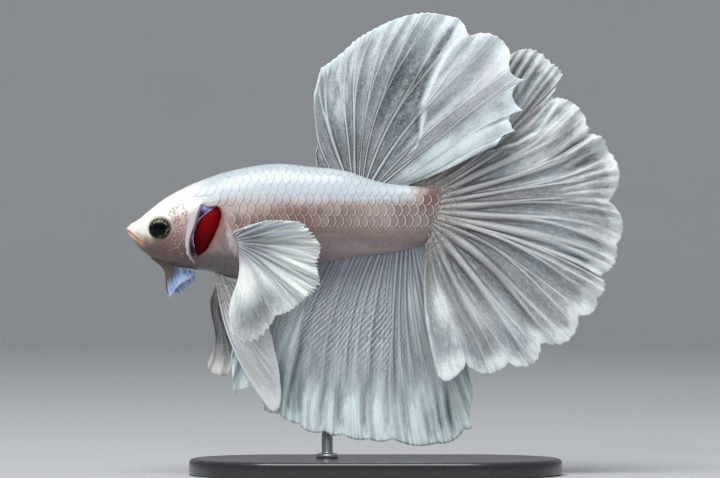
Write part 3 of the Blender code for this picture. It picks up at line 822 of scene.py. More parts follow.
# lit_mask is where the gill opening gets its painted iridescent sheen and glints.
lit_mask = np.maximum(m["lilac"], m["shimmer"]) * m["pocket"]
skin_marks = {
    "features": each_point(m["crease"] * side, m["peach"], m["strip"] * side),
    # The lips' mark stays at the front of the snout, where its pale pink is partly a painted highlight.
    "lips": each_point(m["lips"] * ease(1.5, 0.7, x), m["mouth"], shoulder_mask * side),
    "blush_and_highlight": each_point(m["rear_rim"] * side, m["bead"] * side, m["cell"] * side),
    "opening": each_point(m["pocket"] * side, m["band"] * side, lit_mask * side),
}
nose_and_end = skin_grid[[0, -1]].mean(axis=1)
skin_vertices = np.concatenate([skin_grid.reshape(-1, 3), nose_and_end])
skin_quads, skin_fans = ring_faces(SKIN_STATIONS, SKIN_SIDES)
for key in skin_marks:
    skin_marks[key] = np.concatenate([skin_marks[key], skin_marks[key][[0, -1]]])
skin = make_piece("skin", skin_vertices, skin_quads, skin_finish, skin_marks, (), skin_fans)
FLESH_NODES = ("head", "lower_jaw", "trunk", "tail_stalk", "gill_cover_left", "gill_cover_right")
finish_piece(skin, "skin", *FLESH_NODES)

# %% [markdown]
# ## Where the fins go
#
# A fin is a fan. Its rays start along a short base line and end on a wide margin of lobes, so a
# fin is fully told by its base, the corners of its margin and where its rays lie. A cloth
# simulation would drape it, but a live fin is held open by its rays, so rules do better: each ray
# bows a little, the whole fan leans, and the sheet rises on the rays and sinks between them.

# %% The fans' sizes, in millimetres
# margin: x, z and the swell of the lobe that follows. rays: where each one meets the margin.
TAIL_FIN = {
    "base": ((41.0, 6.6), (44.2, 5.3), (44.9, 1.8), (43.6, -1.9)),
    "margin": (
        (50.5, 23.6, 3.0), (55.0, 24.6, 1.8), (61.3, 24.2, 0.3), (63.2, 22.4, -0.2),
        (61.7, 18.9, 1.3), (66.5, 15.3, 0.3), (66.6, 13.6, 1.0), (69.6, 11.4, 1.7),
        (69.6, 4.0, 1.6), (70.8, -2.4, 1.1), (68.4, -6.7, 1.0), (68.0, -10.0, 1.2),
        (65.3, -12.4, 2.2), (59.9, -16.3, 2.1), (55.1, -19.3, 1.7), (49.1, -19.3, 0.4),
        (46.3, -22.0, 0.2), (45.1, -21.2, 0.0),
    ),
    "roots": (0.0, 0.30, 0.50, 0.67, 0.83, 1.0),
    "bow": (0.0, -1.3, -0.2, 1.3, 0.5, -1.5),
    "lean": (3.2, 3.0, 0.2, -0.6, -1.0, -2.2, -3.4),
    "base_lean": (0.7, -0.9),
    "rays": (0.0, 0.04, 0.08, 0.115, 0.156, 0.195, 0.235, 0.275, 0.339, 0.396, 0.47, 0.541,
             0.583, 0.613, 0.64, 0.699, 0.753, 0.806, 0.859, 0.893, 0.941, 1.0),
}
DORSAL_FIN = {
    "base": ((27.5, 0.0), (32.0, 0.0), (36.5, 0.0), (41.2, 0.0)),
    "margin": (
        (27.4, 14.0, 0.1), (27.1, 19.6, 0.0), (28.1, 23.3, -0.2), (32.7, 27.0, 0.2),
        (38.4, 30.1, 0.2), (43.3, 31.2, 0.2), (48.2, 30.3, 0.1), (49.5, 27.7, 0.3),
        (52.4, 28.1, 0.4), (55.0, 26.2, 0.2), (55.4, 24.5, -1.2), (57.8, 21.6, -1.8),
        (57.3, 17.1, -1.5), (56.2, 14.1, -0.5), (53.6, 12.2, 0.0),
    ),
    "roots": (0.0, 0.32, 0.46, 0.58, 0.73, 1.0),
    "bow": (-0.3, 0.9, 1.2, 0.9, 0.4, 0.1),
    "lean": (0.8, 0.2, -0.8, -1.8, -2.6, -3.2, -3.4),
    "base_lean": (0.0, -0.3),
    "rays": (0.0, 0.075, 0.165, 0.25, 0.31, 0.40, 0.47, 0.553, 0.65, 0.748, 0.809, 0.888, 0.943, 1.0),
}
ANAL_FIN = {
    "base": ((19.2, 0.0), (27.0, 0.0), (35.0, 0.0), (43.3, 0.0)),
    "margin": (
        (15.1, -18.6, 0.0), (15.5, -23.9, -0.4), (18.4, -23.1, -0.3), (19.8, -26.1, 0.2),
        (22.1, -26.7, 0.3), (25.0, -28.2, 0.7), (28.7, -29.2, 0.5), (31.2, -29.6, 0.5),
        (35.0, -30.3, 0.5), (38.5, -30.3, 0.7), (44.9, -31.0, 0.8), (48.8, -29.0, 0.1),
        (50.0, -28.8, -0.4), (50.0, -24.8, 0.3), (49.4, -20.5, 0.0),
    ),
    "roots": (0.0, 0.25, 0.6, 0.82, 0.94, 1.0),
    "bow": (-0.3, -1.0, -1.5, -1.0, -0.3, 0.3),
    "lean": (-0.2, -0.3, -0.4, -0.3, 0.4, 1.4, 2.0),
    "base_lean": (0.0, 0.7),
    "rays": tuple((np.arange(27) / 26).tolist()),
}
for title, fin in (("tail", TAIL_FIN), ("dorsal", DORSAL_FIN), ("anal", ANAL_FIN)):
    print(f"{title} fin: {len(fin['rays'])} rays, {len(fin['margin'])} marks on its margin")

# %% [markdown]
# ## Reading a fan at any place
#
# The sizes say only where the base, the margin and the rays are. These functions fill in the rest:
# where the margin runs between its marks, where a ray leaves the body, and how far the sheet
# stands out of its plane. Folds that follow the rays look right because they hang on the rays.

# %% Reading a fan at any place
def margin_points(fin, u):
    """The fin's edge at u, from its first mark at 0 to its last at 1."""
    marks = np.array(fin["margin"])
    corners = marks[:, :2]
    chords = np.diff(corners, axis=0)
    lengths = np.hypot(*chords.T)
    knots = np.concatenate([[0], np.cumsum(lengths)]) / lengths.sum()
    i = np.clip(np.searchsorted(knots, u, side="right") - 1, 0, len(chords) - 1)
    s = np.clip((u - knots[i]) / (knots[i + 1] - knots[i]), 0, 1)
    normals = np.stack([-chords[:, 1], chords[:, 0]], axis=1) / lengths[:, None]
    centre = np.mean(fin["base"], axis=0)
    outward_side = np.sign(((corners[:-1] + chords / 2 - centre) * normals).sum(axis=1))
    bulge = np.sin(math.pi * s) ** 0.7 * marks[i, 2] * outward_side[i]
    return corners[i] + chords[i] * s[..., None] + normals[i] * bulge[..., None]


def line_along(fin, y=0.0):
    """A base line through the fin's base points at one y."""
    points = np.array(fin["base"])

    def read(share):
        x, z = evenly(points[:, 0], share), evenly(points[:, 1], share)
        return np.stack([x, np.full_like(x, y), z], axis=-1)

    return read


def line_on_body(fin, edge):
    """A base line along the back (edge 0) or the belly (edge 1)."""
    points = np.array(fin["base"])

    def read(share):
        x = evenly(points[:, 0], share)
        return np.stack([x, np.zeros_like(x), section(x)[edge] + (0.3, -0.3)[edge]], axis=-1)

    return read


def line_on_flank(fin, gap):
    """A base line through the fin's base points on the body's right side."""
    points = np.array(fin["base"])

    def read(share):
        x, z = evenly(points[:, 0], share), evenly(points[:, 1], share)
        return np.stack([x, flank(x, z) + gap, z], axis=-1)

    return read


def uneven(order, salt=0.0):
    """A slow rise and fall from ray to ray, 0 to 1, so that no two folds are alike."""
    return 0.5 + 0.5 * np.sin(2.3 * order + 1.7 * np.sin(0.9 * order + salt) + salt)


def fan(fin, root_line, u, v, pleat=0.5, tooth=0.0, ruffle=0.0, sway=0.0, wander=0.0, fullness=((0, 1),)):
    """Points of the fin's middle sheet. u crosses its rays and v runs out along them."""
    order = np.interp(u, fin["rays"], np.arange(len(fin["rays"])))
    edge = margin_points(fin, u)
    root = root_line(evenly(fin["roots"], u))
    ray = edge - root[..., [0, 2]]
    length = np.linalg.norm(ray, axis=-1)
    side = np.stack([-ray[..., 1], ray[..., 0]], axis=-1) / length[..., None]
    out = np.clip(v, 0, 1)
    swing = 4 * v * (1 - v) * evenly(fin["bow"], u)
    swing += wander * np.sin(math.pi * out) * np.sin(1.3 * order + 0.4)
    swing += 0.7 * wander * np.sin(2 * math.pi * out) * np.sin(0.8 * order + 1.9)
    swing += evenly(fin.get("bend", (0.0, 0.0)), u) * np.sin(2 * math.pi * out)
    full = np.interp(order, *np.array(fullness, float).T)
    nick = tooth * (0.3 + uneven(order, 1.0)) * np.cos(8 * math.pi * order + 2 * np.sin(3 * order))
    reach = v + nick * out**14 / length
    flat = root[..., [0, 2]] + ray * reach[..., None] + side * swing[..., None]
    lean = np.interp(u, (0, 1), fin["base_lean"]) * (1 - out) + evenly(fin["lean"], u) * out**1.2
    fold = -pleat * full * (0.3 + uneven(order)) * out**0.7 * (1 - 0.45 * out) * np.cos(2 * math.pi * order)
    drift = sway * out**1.3 * np.sin(2 * math.pi * (0.37 * order + 0.3 * np.sin(0.8 * order)))
    wave = ruffle * (0.4 + 1.2 * uneven(order, 2.0)) * ease(0.62, 1.0, out)
    wave = wave * np.sin(2 * math.pi * (order * 1.37 + 0.6 * np.sin(order)))
    return np.stack([flat[..., 0], root[..., 1] + lean + fold + drift + wave, flat[..., 1]], axis=-1)


print("middle of the tail's margin:", margin_points(TAIL_FIN, np.array([0.5]))[0].round(1))

# %% [markdown]
# ## Rays and webs
#
# Close to, a fin is a row of bony rays with thin web between them. Each ray is one rod at its root
# and splits into two, and then into four, on its way out. One rule gives the distance to the
# nearest branch, and that distance sets both the thickness of the sheet and, later, its colour,
# so the relief and the paint can't drift apart.

# %% A fin with its rays raised
def branch_gap(order, v, spacing, first_split, second_split, spread):
    """How far each place is from the nearest branch of a ray, in millimetres."""
    offset = np.abs(order - np.round(order))
    gap = np.abs(offset - spread * ease(first_split, 0.95, v))
    gap = np.abs(gap - 0.5 * spread * ease(second_split, 1.15, v))
    return gap * spacing


def sheet_normals(points):
    """Unit vectors across a grid of points, all on one side of it."""
    along = np.gradient(points, axis=1)
    across = np.gradient(points, axis=0)
    normal = np.cross(across, along)
    return normal / np.maximum(np.linalg.norm(normal, axis=-1, keepdims=True), 1e-9)


def spots_of(patches, order, out):
    """How strongly soft patches, each (order, share out, width, length, strength), cover a place."""
    covered = np.zeros(order.shape)
    for at_order, at_out, wide, long, strength in patches:
        spot = np.exp(-(((order - at_order) / wide) ** 2) - ((out - at_out) / long) ** 2)
        covered = np.maximum(covered, strength * spot)
    return covered


def ray_relief(order, v, spacing, look):
    """How much of a raised ray lies at each place, and how much of the painted shade line beside it."""
    out = np.clip(v, 0, 1)
    gap = branch_gap(order, v, spacing, look["first_split"], look["second_split"], look["spread"])
    width = look["root_width"] * (1 - out) + look["tip_width"] * out
    width = width * (0.7 + 0.6 * uneven(np.round(order), 4.0))
    width = np.minimum(width, spacing * (0.30 - 0.17 * ease(look["first_split"], 1.0, v)))
    strong = 1 - look["outer_fade"] * ease(0.5, 0.8, out)
    for begin, end, loss in look["fades"]:
        strong = strong * (1 - loss * ease(0, 1, (order - begin) / (end - begin)))
    strong = strong * (1 - np.minimum(spots_of(look["smooth"], order, out), 1.0))
    return np.exp(-((gap / width) ** 2)) * strong, hump(gap, 1.9 * width, 0.55 * width) * strong


print("half way out, a ray and its first branches, in mm:",
      branch_gap(np.linspace(0, 0.5, 6), 0.5, 1.0, 0.26, 0.58, 0.25).round(2))

# %% [markdown]
# ## Folds, waves and shade
#
# A wide fin never lies flat. One part passes behind another along a fold, the margin runs in small
# waves, and each stretch of web gets painted shade beside one ray and a painted sheen beside the
# next. A fold needs both a step in the sheet and a line of painted shade, so the fold and the waves
# move the sheet and paint shade and highlights on it too.

# %% Folds, waves and shade on a fin
def strengthen(fields, key, amount):
    """A mark's field grows to this amount where it is less."""
    fields[key] = np.maximum(fields[key], amount)


def fold_over(sheet, fields, order, out, line, step):
    """One side of a line steps behind the other, with a painted highlight on its lip in front of painted
    shade.
    """
    fold_order = np.interp(out, [spot[1] for spot in line], [spot[0] for spot in line])
    across = order - fold_order
    behind = across * np.sign(step)
    window = ease(line[0][1] - 0.1, line[0][1] + 0.06, out) * ease(line[-1][1] + 0.1, line[-1][1], out)
    sheet[..., 1] += step * window * np.tanh(across / 0.10) * np.exp(-((across / 1.8) ** 2))
    strengthen(fields, "dark", 0.95 * window * hump(behind, 0.20, 0.17))
    strengthen(fields, "pale", 1.2 * window * hump(behind, -0.10, 0.11))


def add_waves(sheet, fields, order, out, centre, spread, waves, height):
    """Small waves near the margin, strongest round one ray, with painted shade on one side of each wave and a
    painted highlight on the other.
    """
    window = np.exp(-(((order - centre) / spread) ** 2)) * ease(0.62, 0.84, out) * ease(1.02, 0.96, out)
    turns = waves * order + 0.5 * np.sin(1.3 * order) + 0.4 * out + 0.3 * np.sin(9 * out)
    wave = window * np.sin(2 * math.pi * turns)
    sheet[..., 1] += height * wave
    strengthen(fields, "dark", 1.3 * np.clip(wave, 0, 1) ** 1.3)
    strengthen(fields, "pale", 0.6 * np.clip(-wave, 0, 1) ** 1.5)


def shade_webs(fields, order, out, shade, sheen):
    """Painted shade on each stretch of web beside one ray, and a painted sheen beside the next."""
    ray = np.floor(order)
    beside = order - ray
    slow = 0.6 + 0.4 * np.sin(8.0 * out + 2.1 * ray)
    along_web = ease(0.04, 0.22, out) * ease(1.04, 0.74, out) * slow
    under_ray = hump(beside, 0.27, 0.13) * (0.15 + 0.85 * uneven(ray, 6.0)) * along_web
    over_ray = hump(beside, 0.74, 0.14) * (0.15 + 0.85 * uneven(ray, 3.0)) * along_web
    strengthen(fields, "dark", shade * under_ray * (1 - 0.9 * fields["tint"]))
    strengthen(fields, "pale", sheen * over_ray)


trial = {key: np.zeros(5) for key in ("pale", "dark", "tint")}
shade_webs(trial, np.linspace(3, 4, 5), np.full(5, 0.5), 1.0, 1.0)
print("shade from one ray to the next:", trial["dark"].round(2))

# %% [markdown]
# ## A fin as one closed sheet
#
# The middle sheet gets a front and a back, each pushed out by half the thickness there, and a
# strip round the rim closes them. A flat plane with a thickness added afterwards would be simpler,
# but its rays would be as thin as its webs.

# %% A whole fin
SHAPE_KEYS = ("pleat", "tooth", "ruffle", "sway", "wander", "fullness")
PLAIN_LOOK = {
    "wander": 0.0, "fullness": ((0, 1),), "spread": 0.25, "outer_fade": 0.0, "shade": 0.0,
    "sheen": 0.0, "flesh": 0.0, "fades": (), "smooth": (), "overlaps": (), "ripples": (),
}
NO_PAINT = {"pale": (), "dark": (), "tint": (), "zone": ()}


def on_both_faces(*values):
    """A mark for each point of a sheet's front, and the same again for its back."""
    return np.tile(each_point(*values), (2, 1))


def fin_piece(name, fin, root_line, finish, per_ray, rows, look, paint=NO_PAINT, mirrored=False, tuck=0.0):
    """A closed sheet with raised rays, and the marks that its finish reads."""
    rays = fin["rays"]
    order = np.linspace(0, len(rays) - 1, per_ray * (len(rays) - 1) + 1)
    u = np.interp(order, np.arange(len(rays)), rays)
    order, v = np.meshgrid(order, np.linspace(look["start"], 1.0, rows), indexing="ij")
    u = np.repeat(u[:, None], rows, axis=1)
    out = np.clip(v, 0, 1)
    sheet = fan(fin, root_line, u, v, **{key: look[key] for key in SHAPE_KEYS})
    sheet[..., 1] -= tuck * ease(0.22, -0.05, v)
    flat = fan(fin, root_line, u, v, pleat=0.0)
    spacing = np.linalg.norm(np.gradient(flat, axis=0), axis=-1) * per_ray
    fields = {key: spots_of(patches, order, out) for key, patches in {**NO_PAINT, **paint}.items()}
    for line, step in look["overlaps"]:
        fold_over(sheet, fields, order, out, line, step)
    for waves in look["ripples"]:
        add_waves(sheet, fields, order, out, *waves)
    shade_webs(fields, order, out, look["shade"], look["sheen"])
    ray, groove = ray_relief(order, v, spacing, look)
    thick = look["web"] + ray * (look["root_rise"] * (1 - out) + look["tip_rise"] * out)
    thick *= 1 - 0.6 * ease(0.97, 1.0, out)
    from_end = np.minimum(order, len(rays) - 1 - order)
    thick += look["flesh"] * ease(0.13, -0.02, v) * ease(0.0, 2.0, from_end)
    half = sheet_normals(sheet) * thick[..., None]
    points = np.concatenate([(sheet - half).reshape(-1, 3), (sheet + half).reshape(-1, 3)])
    if mirrored:
        points[:, 1] *= -1
    length = v * np.linalg.norm(margin_points(fin, u) - root_line(u)[..., [0, 2]], axis=-1)
    # The ray mark holds the ray, the painted shade line beside it and the share out; the patch mark holds
    # pale patches with painted highlights, painted shade and tints.
    marks = {
        "ray": on_both_faces(ray, groove, out),
        "patch": on_both_faces(fields["pale"], fields["dark"], fields["tint"]),
        "place": on_both_faces(order, length, fields["zone"]),
    }
    columns = len(order)
    rim = 2 * (columns + rows) - 4
    return make_piece(name, points, sheet_faces(columns, rows), finish, marks, flat=rim)


# %% [markdown]
# ## A finish for webs and rays
#
# Web is thin and cloudy, with threads that run outwards. The rays are paler and speckled, and the
# margin is icy, partly as a painted glow. Over it go painted shade from the dark patches and painted
# highlights from the pale ones. All of it follows the fin, so the patterns are laid along the rays
# and not in space: one number counts rays, and the other is the length along them.

# %% Finish of a fin
def web_colour(fin, web, tint, ice, reach, haze, streak):
    """Soft clouds and streaks on the web, from its root tone to its margin tone."""
    sheet = fin.mix(fin.band(reach, 0.05, 0.5), web[0], web[1])
    sheet = fin.mix(fin.band(reach, 0.55, 1.0), sheet, web[2])
    sheet = fin.over(sheet, tint, fin.band(haze, 0.48, 0.66), 0.3)
    sheet = fin.over(sheet, (156, 174, 188), fin.band(haze, 0.47, 0.34), 0.34)
    # deep, the web darkened towards black, is the tone of the dark streaks and of the painted shade.
    deep = fin.mix(0.72, sheet, (28, 29, 33))
    sheet = fin.over(sheet, ice, fin.band(streak, 0.54, 0.70), 0.34)
    sheet = fin.over(sheet, deep, fin.band(streak, 0.44, 0.28), 0.45)
    return sheet, deep


def hatching(fin, colour, tone_there, order, length, zone, haze, streak, threads):
    """Short slanting strokes over one zone of the web, made a little darker: painted highlights where folds
    catch the light.
    """
    slant = fin.scaled(length, 0.95, fin.scaled(order, 1.97))
    turns = fin.sum("FRACT", fin.scaled(haze, 1.2, slant))
    stroke = fin.both(
        fin.band(turns, 0.66, 0.76), fin.band(turns, 0.98, 0.88),
        fin.band(streak, 0.32, 0.44), fin.band(threads, 0.40, 0.50), zone,
    )
    colour = fin.over(colour, (84, 88, 98), zone, 0.16)
    return fin.mix(stroke, colour, tone_there)


def fin_finish(name, web, bone, ice, tint, zone_tone, hatched=False, hem=0.8, granular=0.0, root_end=0.2,
               mottled=0.16):
    """Thin web with soft clouds, pale speckled rays and an icy margin."""
    fin = Finish(name, roughness=0.42, specular_ior_level=0.35, coat_weight=0.1, coat_roughness=0.3)
    ray, groove, out = fin.mark("ray")
    pale, dark, tinted = fin.mark("patch")
    order, length, zone = fin.mark("place")
    streak = fin.noise(fin.pattern(fin.scaled(order, 3.0), fin.scaled(length, 0.22)), 2.6, 4.0, 0.6)
    threads = fin.noise(fin.pattern(fin.scaled(order, 11.0), fin.scaled(length, 0.7)), 1.5, 2.0, 0.5)
    clouds_at = fin.pattern(order, fin.scaled(length, 0.13), 4.0)
    cloud = fin.noise(clouds_at, 1.1, 3.0, 0.5)
    haze = fin.noise(clouds_at, 0.7, 2.0, 0.4)
    grain = fin.noise(fin.where(), 5.2, 2.0, 0.6)
    reach = fin.scaled(cloud, 0.6, fin.sum("SUBTRACT", out, 0.3))
    sheet, deep = web_colour(fin, web, tint, ice, reach, haze, streak)
    sheet = fin.mix(tinted, sheet, tint)
    # Painted shade where the dark patches lie; painted highlights or the fin's own pale parts where the pale
    # ones lie.
    sheet = fin.mix(dark, sheet, deep)
    sheet = fin.mix(fin.scaled(pale, fin.scaled(fin.band(streak, 0.3, 0.6), 0.4, 0.6)), sheet, ice)
    sheet = fin.over(sheet, (60, 62, 64), fin.band(grain, 0.50, 0.34), mottled)
    sheet = fin.over(sheet, ice, fin.band(grain, 0.54, 0.70), 0.8 * mottled)
    sheet = fin.over(sheet, bone[1], fin.band(threads, 0.42, 0.72), 0.22)
    # A painted shade line beside each ray, strongest near the root.
    beside_ray = fin.scaled(groove, fin.band(out, 0.8, 0.1))
    sheet = fin.mix(beside_ray, sheet, fin.mix(0.7, web[0], (20, 20, 22)))
    rod = fin.mix(fin.band(reach, 0.1, 0.9), bone[0], bone[1])
    speckle = fin.band(fin.noise(fin.where(), 8.0, 2.0, 0.7), 0.46, 0.58)
    rod = fin.over(rod, web[1], fin.sum("SUBTRACT", 1.0, speckle), 0.38)
    # Painted shade on the rays too, under the dark patches.
    rod = fin.over(rod, deep, dark, 0.55)
    on_ray = fin.scaled(fin.band(ray, 0.15, 0.75), fin.band(streak, 0.12, 0.42))
    colour = fin.mix(on_ray, sheet, rod)
    if hatched:
        colour = hatching(fin, colour, zone_tone, order, length, zone, haze, streak, threads)
    else:
        colour = fin.mix(zone, colour, zone_tone)
    at_root = fin.band(fin.scaled(grain, 0.12, out), root_end, 0.5 * root_end)
    beads = fin.mix(fin.band(grain, 0.38, 0.60), (106, 102, 99), (184, 182, 177))
    colour = fin.over(colour, beads, at_root, granular)
    # The icy hem at the margin: the fin's pale edge with a painted glow.
    rim = fin.band(fin.scaled(streak, 0.2, out), 0.98, 1.09)
    colour = fin.over(colour, ice, rim, hem)
    height = fin.sum("ADD", fin.scaled(streak, 0.7), fin.scaled(grain, 0.3))
    fin.bump(height, 0.00013, 0.45)
    print(name, "web, from root to margin:", *web)
    return fin.paint(colour)


# %% [markdown]
# ## The tail fin
#
# The tail is the widest fan, and its upper part folds away behind the rest. Each fin gets its own
# tones, because light passes through some parts and only glances off others. Soft patches of pale
# and dark are placed ray by ray, which keeps them on the webs when the shape changes: the pale ones
# are the fin's own pale parts and painted highlights, the dark ones painted shade.

# %% Tail fin
# Each patch is ray number, share of the way out, width in rays, length as a share, strength.
FAN_LOOK = {
    **PLAIN_LOOK, "start": -0.05, "pleat": 0.36, "tooth": 0.12, "ruffle": 0.26, "sway": 0.45,
    "web": 0.07, "root_width": 0.50, "tip_width": 0.14, "root_rise": 0.26, "tip_rise": 0.07,
    "first_split": 0.26, "second_split": 0.58,
}
# Pale patches are the fin's own pale parts and painted highlights; dark patches are painted shade.
TAIL_PAINT = {
    "pale": (
        (4.6, 0.45, 0.9, 0.14, 0.35), (5.9, 0.80, 0.3, 0.12, 0.6), (6.4, 0.96, 0.35, 0.05, 0.9),
        (8.2, 0.97, 0.3, 0.05, 0.6), (8.7, 0.99, 0.5, 0.04, 0.5), (9.5, 0.80, 0.25, 0.09, 0.7),
        (11.3, 0.95, 0.5, 0.05, 0.5), (12.6, 0.94, 0.4, 0.06, 1.1), (14.6, 0.95, 0.5, 0.06, 1.0),
        (16.4, 0.94, 0.6, 0.08, 1.1), (18.3, 0.95, 0.7, 0.07, 1.1), (20.4, 0.93, 0.7, 0.09, 1.2),
        (20.1, 0.50, 0.45, 0.16, 1.3), (19.9, 0.72, 0.4, 0.16, 0.6), (20.95, 0.6, 0.12, 0.4, 0.8),
        (13.6, 0.62, 0.25, 0.12, 0.4), (18.1, 0.54, 0.22, 0.16, 0.8), (5.5, 0.92, 0.3, 0.05, 0.9),
        (6.7, 0.86, 0.35, 0.13, 1.0), (7.6, 0.60, 0.7, 0.14, 0.5), (17.1, 0.62, 0.2, 0.2, 0.5),
        (12.9, 0.70, 0.2, 0.14, 0.5), (4.9, 0.62, 0.16, 0.14, 0.6),
    ),
    "dark": (
        (2.3, 0.80, 2.2, 0.40, 0.5), (3.2, 0.90, 1.3, 0.10, 0.45), (8.8, 0.89, 0.9, 0.06, 0.4),
        (5.0, 0.74, 0.7, 0.12, 0.75), (4.3, 0.84, 0.4, 0.08, 0.7), (5.7, 0.62, 0.4, 0.09, 0.8),
        (6.95, 0.93, 0.14, 0.06, 0.8), (7.5, 0.86, 0.12, 0.08, 0.5), (8.35, 0.90, 0.18, 0.08, 0.9),
        (8.75, 0.92, 0.12, 0.07, 0.7), (9.2, 0.89, 0.16, 0.08, 0.8), (9.75, 0.93, 0.14, 0.06, 0.6),
        (10.3, 0.90, 0.14, 0.06, 0.6), (11.9, 0.86, 0.16, 0.08, 0.6), (13.3, 0.84, 0.16, 0.09, 0.5),
        (14.95, 0.30, 0.18, 0.15, 0.6), (16.5, 0.42, 0.15, 0.16, 0.5), (17.4, 0.37, 0.16, 0.20, 0.6),
        (10.0, 0.50, 0.6, 0.20, 0.45), (11.9, 0.66, 0.35, 0.16, 0.55), (16.0, 0.47, 0.3, 0.18, 0.7),
        (15.5, 0.72, 0.3, 0.16, 0.45), (14.8, 0.50, 0.2, 0.2, 0.5), (18.6, 0.55, 0.2, 0.25, 0.5),
        (15.6, 0.72, 0.16, 0.12, 0.4), (19.3, 0.80, 0.16, 0.12, 0.5), (17.3, 0.80, 0.14, 0.12, 0.5),
        (16.9, 0.90, 0.12, 0.07, 0.5),
    ),
    "tint": (
        (7.0, 0.83, 0.35, 0.07, 0.8), (8.6, 0.76, 0.35, 0.08, 0.7), (9.8, 0.88, 0.3, 0.07, 0.8),
        (10.9, 0.87, 0.35, 0.07, 0.8), (17.8, 0.62, 0.5, 0.09, 0.7), (19.8, 0.51, 0.5, 0.10, 0.8),
        (5.0, 0.55, 1.2, 0.20, 0.6), (5.6, 0.74, 0.5, 0.12, 0.9),
    ),
    "zone": (
        (1.2, 0.06, 2.4, 0.20, 1.3), (3.2, 0.05, 1.6, 0.12, 0.5), (5.2, 0.72, 0.6, 0.13, 0.25),
    ),
}
TAIL_LOOK = {
    **FAN_LOOK, "root_width": 0.36, "tip_width": 0.11, "first_split": 0.26, "second_split": 0.66,
    "spread": 0.19, "wander": 0.45, "shade": 0.9, "sheen": 0.35, "flesh": 0.3,
    "smooth": ((5.1, 0.76, 0.8, 0.16, 1.2), (6.2, 0.74, 0.5, 0.26, 1.3), (7.0, 0.84, 0.6, 0.12, 0.6)),
    "fades": ((17.0, 18.6, 0.65), (6.6, 5.4, 0.4)),
    "ripples": ((8.0, 2.6, 2.7, 0.24), (3.2, 1.8, 2.6, 0.2), (12.4, 1.6, 2.4, 0.12)),
    "overlaps": (
        (((5.0, 0.42), (5.7, 0.50), (6.2, 0.59), (6.35, 0.72), (6.15, 0.83), (5.85, 0.97)), -0.5),
    ),
}
tail_finish = fin_finish(
    "tail_fin_web",
    web=((116, 117, 119), (131, 135, 138), (151, 156, 159)),
    bone=((194, 195, 194), (217, 222, 224)), ice=(238, 244, 244), tint=(176, 173, 168),
    zone_tone=(170, 154, 144), hem=0.6, granular=0.85, root_end=0.26, mottled=0.22,
)
tail = fin_piece("tail_fan", TAIL_FIN, line_along(TAIL_FIN), tail_finish, 26, 90, TAIL_LOOK, TAIL_PAINT)
finish_piece(tail, "fin_membrane", "tail_fin")

# %% [markdown]
# ## The dorsal fin
#
# The dorsal fin stands on the back in front of the tail. Its base line is read from the body's own
# back, so the fin can't float above it or sink in. Its rear part overlaps the front along a fold.

# %% Dorsal fin
DORSAL_PAINT = {
    "pale": (
        (2.8, 0.53, 0.32, 0.11, 0.8), (3.3, 0.96, 0.5, 0.05, 0.6), (5.05, 0.92, 0.5, 0.06, 0.7),
        (6.65, 0.90, 0.26, 0.06, 0.7), (7.8, 0.84, 0.34, 0.10, 1.0), (7.85, 0.69, 0.30, 0.10, 0.9),
        (8.0, 0.53, 0.22, 0.09, 0.6), (10.9, 0.38, 0.55, 0.16, 1.0), (11.4, 0.62, 0.65, 0.18, 1.0),
        (11.1, 0.78, 0.5, 0.10, 0.8), (11.0, 0.14, 0.8, 0.12, 0.75), (8.6, 0.96, 0.3, 0.05, 0.9),
        (4.0, 0.72, 0.22, 0.12, 0.45), (12.4, 0.5, 0.5, 0.4, 0.8), (3.15, 0.62, 0.3, 0.10, 0.8),
        (3.6, 0.80, 0.13, 0.12, 0.9), (2.75, 0.86, 0.12, 0.10, 0.8), (4.65, 0.84, 0.13, 0.10, 0.8),
        (5.6, 0.86, 0.2, 0.08, 0.6), (8.1, 0.24, 0.16, 0.10, 0.7), (2.4, 0.72, 0.16, 0.12, 0.6),
    ),
    "dark": (
        (2.15, 0.84, 0.26, 0.12, 0.7), (4.15, 0.92, 0.22, 0.08, 0.6), (6.2, 0.58, 0.40, 0.17, 1.0),
        (4.8, 0.15, 2.2, 0.12, 0.55), (7.1, 0.34, 0.9, 0.14, 0.5), (6.65, 0.76, 0.18, 0.07, 0.6),
        (8.6, 0.50, 0.26, 0.13, 0.7), (1.4, 0.5, 0.2, 0.2, 0.45), (9.6, 0.45, 0.4, 0.15, 0.45),
        (3.4, 0.30, 0.3, 0.14, 0.4), (5.3, 0.78, 0.2, 0.1, 0.45), (3.3, 0.62, 0.14, 0.14, 0.7),
        (7.1, 0.50, 0.26, 0.17, 1.1), (7.6, 0.36, 0.5, 0.11, 1.1), (8.4, 0.25, 0.6, 0.08, 0.8),
        (5.8, 0.30, 0.5, 0.12, 0.5), (1.7, 0.49, 0.14, 0.14, 0.6), (7.0, 0.60, 0.35, 0.14, 1.2),
        (1.9, 0.20, 0.5, 0.12, 0.4), (6.2, 0.44, 0.4, 0.12, 0.8),
    ),
    "tint": (
        (9.2, 0.73, 0.6, 0.16, 0.8), (10.2, 0.76, 0.4, 0.12, 0.6), (8.4, 0.78, 0.4, 0.14, 0.5),
        (8.0, 0.66, 0.5, 0.22, 1.3), (8.75, 0.52, 0.4, 0.14, 0.9), (9.6, 0.42, 0.4, 0.10, 0.8),
        (9.1, 0.88, 0.9, 0.13, 1.1), (9.5, 0.62, 0.5, 0.14, 0.7),
    ),
    "zone": (
        (11.4, 0.36, 0.75, 0.24, 0.9), (11.6, 0.66, 0.7, 0.2, 0.85), (10.9, 0.8, 0.35, 0.08, 0.6),
    ),
}
